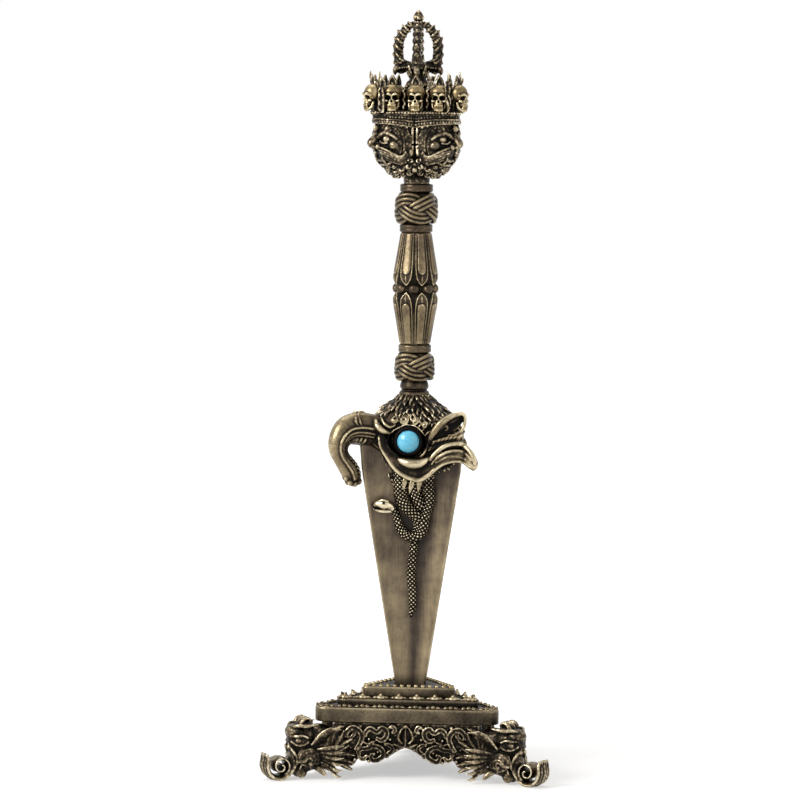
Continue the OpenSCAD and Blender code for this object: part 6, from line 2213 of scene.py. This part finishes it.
@dataclass
class CornerBeast:
    """An elephant-headed beast, the foot of the stand, with a rolled trunk. In millimetres.

    It is modelled looking along x, and turned to each corner.
    """

    def both(self, clay: Clay, rows: Sequence[Point], up: Point, steps: int = 4, around: int = 9) -> None:
        """Lays a bar of rows x, y, z, half width, half height, and its mirror image."""
        clay.bar(rows, up, steps, around)
        clay.bar([(x, -y, z, w, h) for x, y, z, w, h in rows], (up[0], -up[1], up[2]), steps, around)

    def scroll(self, clay: Clay) -> None:
        """Lays the trunk: a broad band that turns up at its tip, with a small roll inside it."""
        band = spline(((39.6, 10.6, 3.4, 2.6), (42, 7.8, 3.3, 1.8), (43.2, 4.4, 3.2, 1.1),
            (45.4, 1.7, 3.2, 0.9), (48.2, 0.95, 3.25, 0.9), (50.8, 2.2, 3.2, 0.9), (51.9, 4.7, 3.1, 0.85),
            (51.7, 7.2, 2.8, 0.75), (52.1, 8.9, 2, 0.5)), 5)
        clay.bar([(x, 0, z, w, h) for x, z, w, h in band], (1, 0, 1), 0, 18)
        edge = np.gradient(band[:, :2], axis=0)
        edge /= np.linalg.norm(edge, axis=1, keepdims=True)
        outer = np.column_stack([edge[:, 1], -edge[:, 0]])
        for share, size in ((0.96, 0.55), (0.5, 0.32), (0, 0.42)):
            for s in (-1, 1) if share else (1,):
                rows = []
                for (x, z, w, h), n in zip(band, outer):
                    lift = h * math.sqrt(max(1 - (share * 0.96) ** 2, 0.0))
                    rows.append((x + n[0] * lift, s * share * w, z + n[1] * lift, size, size))
                clay.bar(rows[6:], ASIDE, 0, 8)
        roll = spline(((46, 1.9, 0.8), (44.7, 3.6, 0.8), (44.9, 5.8, 0.75), (46.8, 7.2, 0.7),
            (48.9, 6.6, 0.65), (49.6, 4.8, 0.6), (48.6, 3.3, 0.55), (47, 3.4, 0.5), (46.6, 4.7, 0.5),
            (47.5, 5.3, 0.45)), 5)
        wide = np.linspace(2.7, 3.5, len(roll))
        clay.bar([(x, 0, z, w, h) for (x, z, h), w in zip(roll, wide)], (1, 0, 1), 0, 14)
        for s in (-1, 1):
            clay.bar([(x, s * w, z, 0.36, 0.4) for (x, z, h), w in zip(roll, wide)], ASIDE, 0, 8)

    def model(self) -> Clay:
        """Models one beast."""
        clay = Clay()
        clay.ball((33.6, 0, 11), (7.2, 5.4, 6.6), 28)
        clay.ball((39, 0, 12.6), (5.2, 4.9, 5.4), 28)
        clay.ball((41.8, 0, 15.6), (3.1, 3.5, 2.5), 24)
        clay.ball((38.6, 0, 17.2), (2.8, 3.6, 2), 20)
        self.scroll(clay)
        for y, r in ((0, 0.95), (2.4, 0.85)):
            curl = [(40.6, y, 17.9, r, 0.7), (39.8, y, 19.4, r, 0.65), (38.2, y, 19.9, r, 0.6),
                (37.2, y, 18.9, r * 0.8, 0.5), (38.0, y, 18.2, r * 0.6, 0.4)]
            if y:
                self.both(clay, curl, UP)
            else:
                clay.bar(curl, UP, 4, 10)
        self.both(clay, ((43.4, 1.6, 17.2, 0.35, 0.4), (42, 3.4, 17.8, 0.6, 0.6),
            (39.6, 4.6, 17.6, 0.7, 0.6), (37, 5.6, 18, 0.45, 0.4), (35.4, 6.2, 18.3, 0.15, 0.15)), UP)
        self.both(clay, ((43.9, 1.8, 14.2, 0.35, 0.35), (42.6, 3.6, 14.4, 0.45, 0.45),
            (40.8, 4.6, 14.6, 0.45, 0.45), (38.8, 5.2, 13.8, 0.3, 0.3)), UP)
        self.both(clay, ((44, 2, 12.6, 0.3, 0.3), (42.6, 3.7, 11.6, 0.4, 0.4), (40.6, 4.6, 11.5, 0.4, 0.4),
            (38.8, 5.2, 12.6, 0.3, 0.3)), UP)
        for s in (-1, 1):
            clay.ball((41.7, s * 3.5, 12.95), (1.35, 1.1, 1), 18)
            clay.ball((43.9, s * 1.2, 10.6), (1, 0.9, 0.9), 14)
            clay.ball((40.2, s * 2.5, 2.9), (2, 1.7, 2.5), 18)
            clay.ball((38.4, s * 3.4, 4.6), (1.8, 1.6, 2), 16)
            clay.ball((38.4, s * 5.4, 7.4), (4.2, 1.2, 3.2), 22)
        clay.ball((40.4, 0, 3), (2.3, 3, 2.6), 20)
        for k in range(5):
            grow = 1.05 + 0.82 * k
            rows = []
            for j in range(17):
                t = math.radians(-78 + 17.5 * j)
                wave = 1 + 0.09 * math.sin(5 * t + 0.8 * k)
                x = 39.9 - grow * 0.42 - grow * 1.12 * math.sin(t - 0.4) * wave
                z = 6.3 + grow * 0.2 - grow * 0.86 * math.cos(t + 2.6) * wave
                rows.append((x, 6.55 - 0.12 * k * k, z, 0.27, 0.34))
            self.both(clay, rows, ASIDE, 1, 7)
        for k in range(6):
            t = k / 5
            self.both(clay, ((38.2 - 1.0 * k, 5.4, 11.4 + 0.3 * k, 0.3, 0.3),
                (36.6 - 0.9 * k, 6.9 + 0.2 * k, 14.2 + 0.25 * k, 0.5, 0.5), (34.6 - 0.7 * k, 8.0 + 0.35 * k,
                16.4 + 0.1 * k, 0.42, 0.4), (32.4 - 0.6 * k, 9.0 + 0.45 * k, 17.6 - 0.15 * k, 0.14, 0.14)),
                (0, 1, 0.3), 4, 8)
            self.both(clay, ((36.4 - 0.5 * k, 5.6, 10.0 - 0.9 * k, 0.35, 0.35), (33.6 - 0.4 * k,
                7.6, 10.6 - 1.5 * k, 0.75, 0.55), (30.8, 9.0 + 0.2 * t, 11.0 - 1.9 * k, 0.7, 0.5),
                (28.0 + 0.2 * k, 10.2 + 0.3 * t, 11.4 - 2.0 * k, 0.15, 0.15)), (0, 1, 0.2), 4, 8)
        self.both(clay, ((37.4, 4, 4.4, 0.5, 0.5), (35.6, 5.6, 3.6, 1, 0.8), (34.2, 6.4, 2.4, 0.9, 0.7),
            (33.4, 6.8, 1.2, 0.35, 0.35)), ASIDE)
        self.both(clay, ((35.4, 3, 4.4, 0.8, 0.7), (32.6, 4.6, 4, 1.1, 0.8), (30.4, 6.6, 2.8, 0.7, 0.5),
            (29.2, 7.6, 1.8, 0.15, 0.15)), ASIDE)
        self.both(clay, ((44.2, 0.6, 11.8, 0.4, 0.4), (43.4, 2.6, 9.6, 0.6, 0.5),
            (42.4, 3.4, 7.6, 0.5, 0.5), (42, 3.6, 5.2, 0.3, 0.3)), ASIDE)
        self.both(clay, ((41.6, 4, 10, 0.3, 0.3), (40.4, 4.6, 8.8, 0.45, 0.4), (40.6, 4.4, 6.4, 0.4, 0.4),
            (41.4, 3.8, 3.6, 0.3, 0.3)), ASIDE)
        return clay

    def build(self, shop: Workshop) -> None:
        """Casts one beast, and places it at the three corners."""
        piece = self.model().cast("beast_cast", 0.3)
        worked = Skin(piece)
        worked.at[:, 2] = np.maximum(worked.at[:, 2], 0.03)
        worked.write()
        worked.weather(3, 24, (3, 0.6))
        worked.tint(np.array([(48.5, y, 4.0) for y in (-2, 0, 2)]), 6.5, 0.14)
        worked.write_wear_and_light()
        for corner, node in zip((210, 330, 90), ("foot_front_left", "foot_front_right", "foot_back")):
            shop.hand_over(twin(node + "_cast", piece.data, turn(corner)), shop.dense, node,
                body=Body.STAND)
        bpy.data.objects.remove(piece)


class Stand:
    """Everything of the stand."""

    def build(self, shop: Workshop) -> None:
        """Makes the tiers, the aprons and the beasts."""
        Tier("lower_tier", 19.0, 4.0, 18.5, 4.8, 5.2, 1.5).build(shop)
        Tier("middle_tier", 14.4, 2.5, 23.3, 2.2, 5.85, 1.9).build(shop)
        Tier("upper_tier", 9.4, 1.5, 25.5, 3.5, 2.2, 0.9).build(shop)
        Apron().build(shop)
        CornerBeast().build(shop)


def dress_fittings(frame: dict, shop: Workshop) -> None:
    """Gives the CAD nodes that keep their own shape their finishes.

    Args:
        frame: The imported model.
        shop: The finishes.
    """
    for node in ("tie_rod", "foot_screws", "tier_screws"):
        piece = frame["nodes"][node]
        piece.data.materials.clear()
        piece.data.materials.append(shop.steel)
        log.info("%s keeps its shape, in zinc-plated steel", node)


def main() -> None:
    """Builds the scene."""
    logging.basicConfig(level=logging.INFO, format="%(name)s: %(message)s")
    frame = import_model()
    Studio().build()
    shop = Workshop()
    blade = Blade()
    blade.build(shop)
    Snakes(blade).build(shop)
    MakaraHead(blade).build(shop)
    Grip().build(shop)
    ThreeFaces().build(shop)
    SkullCrown().build(shop)
    HalfVajra().build(shop)
    Stand().build(shop)
    dress_fittings(frame, shop)


if __name__ == "__main__":
    main()
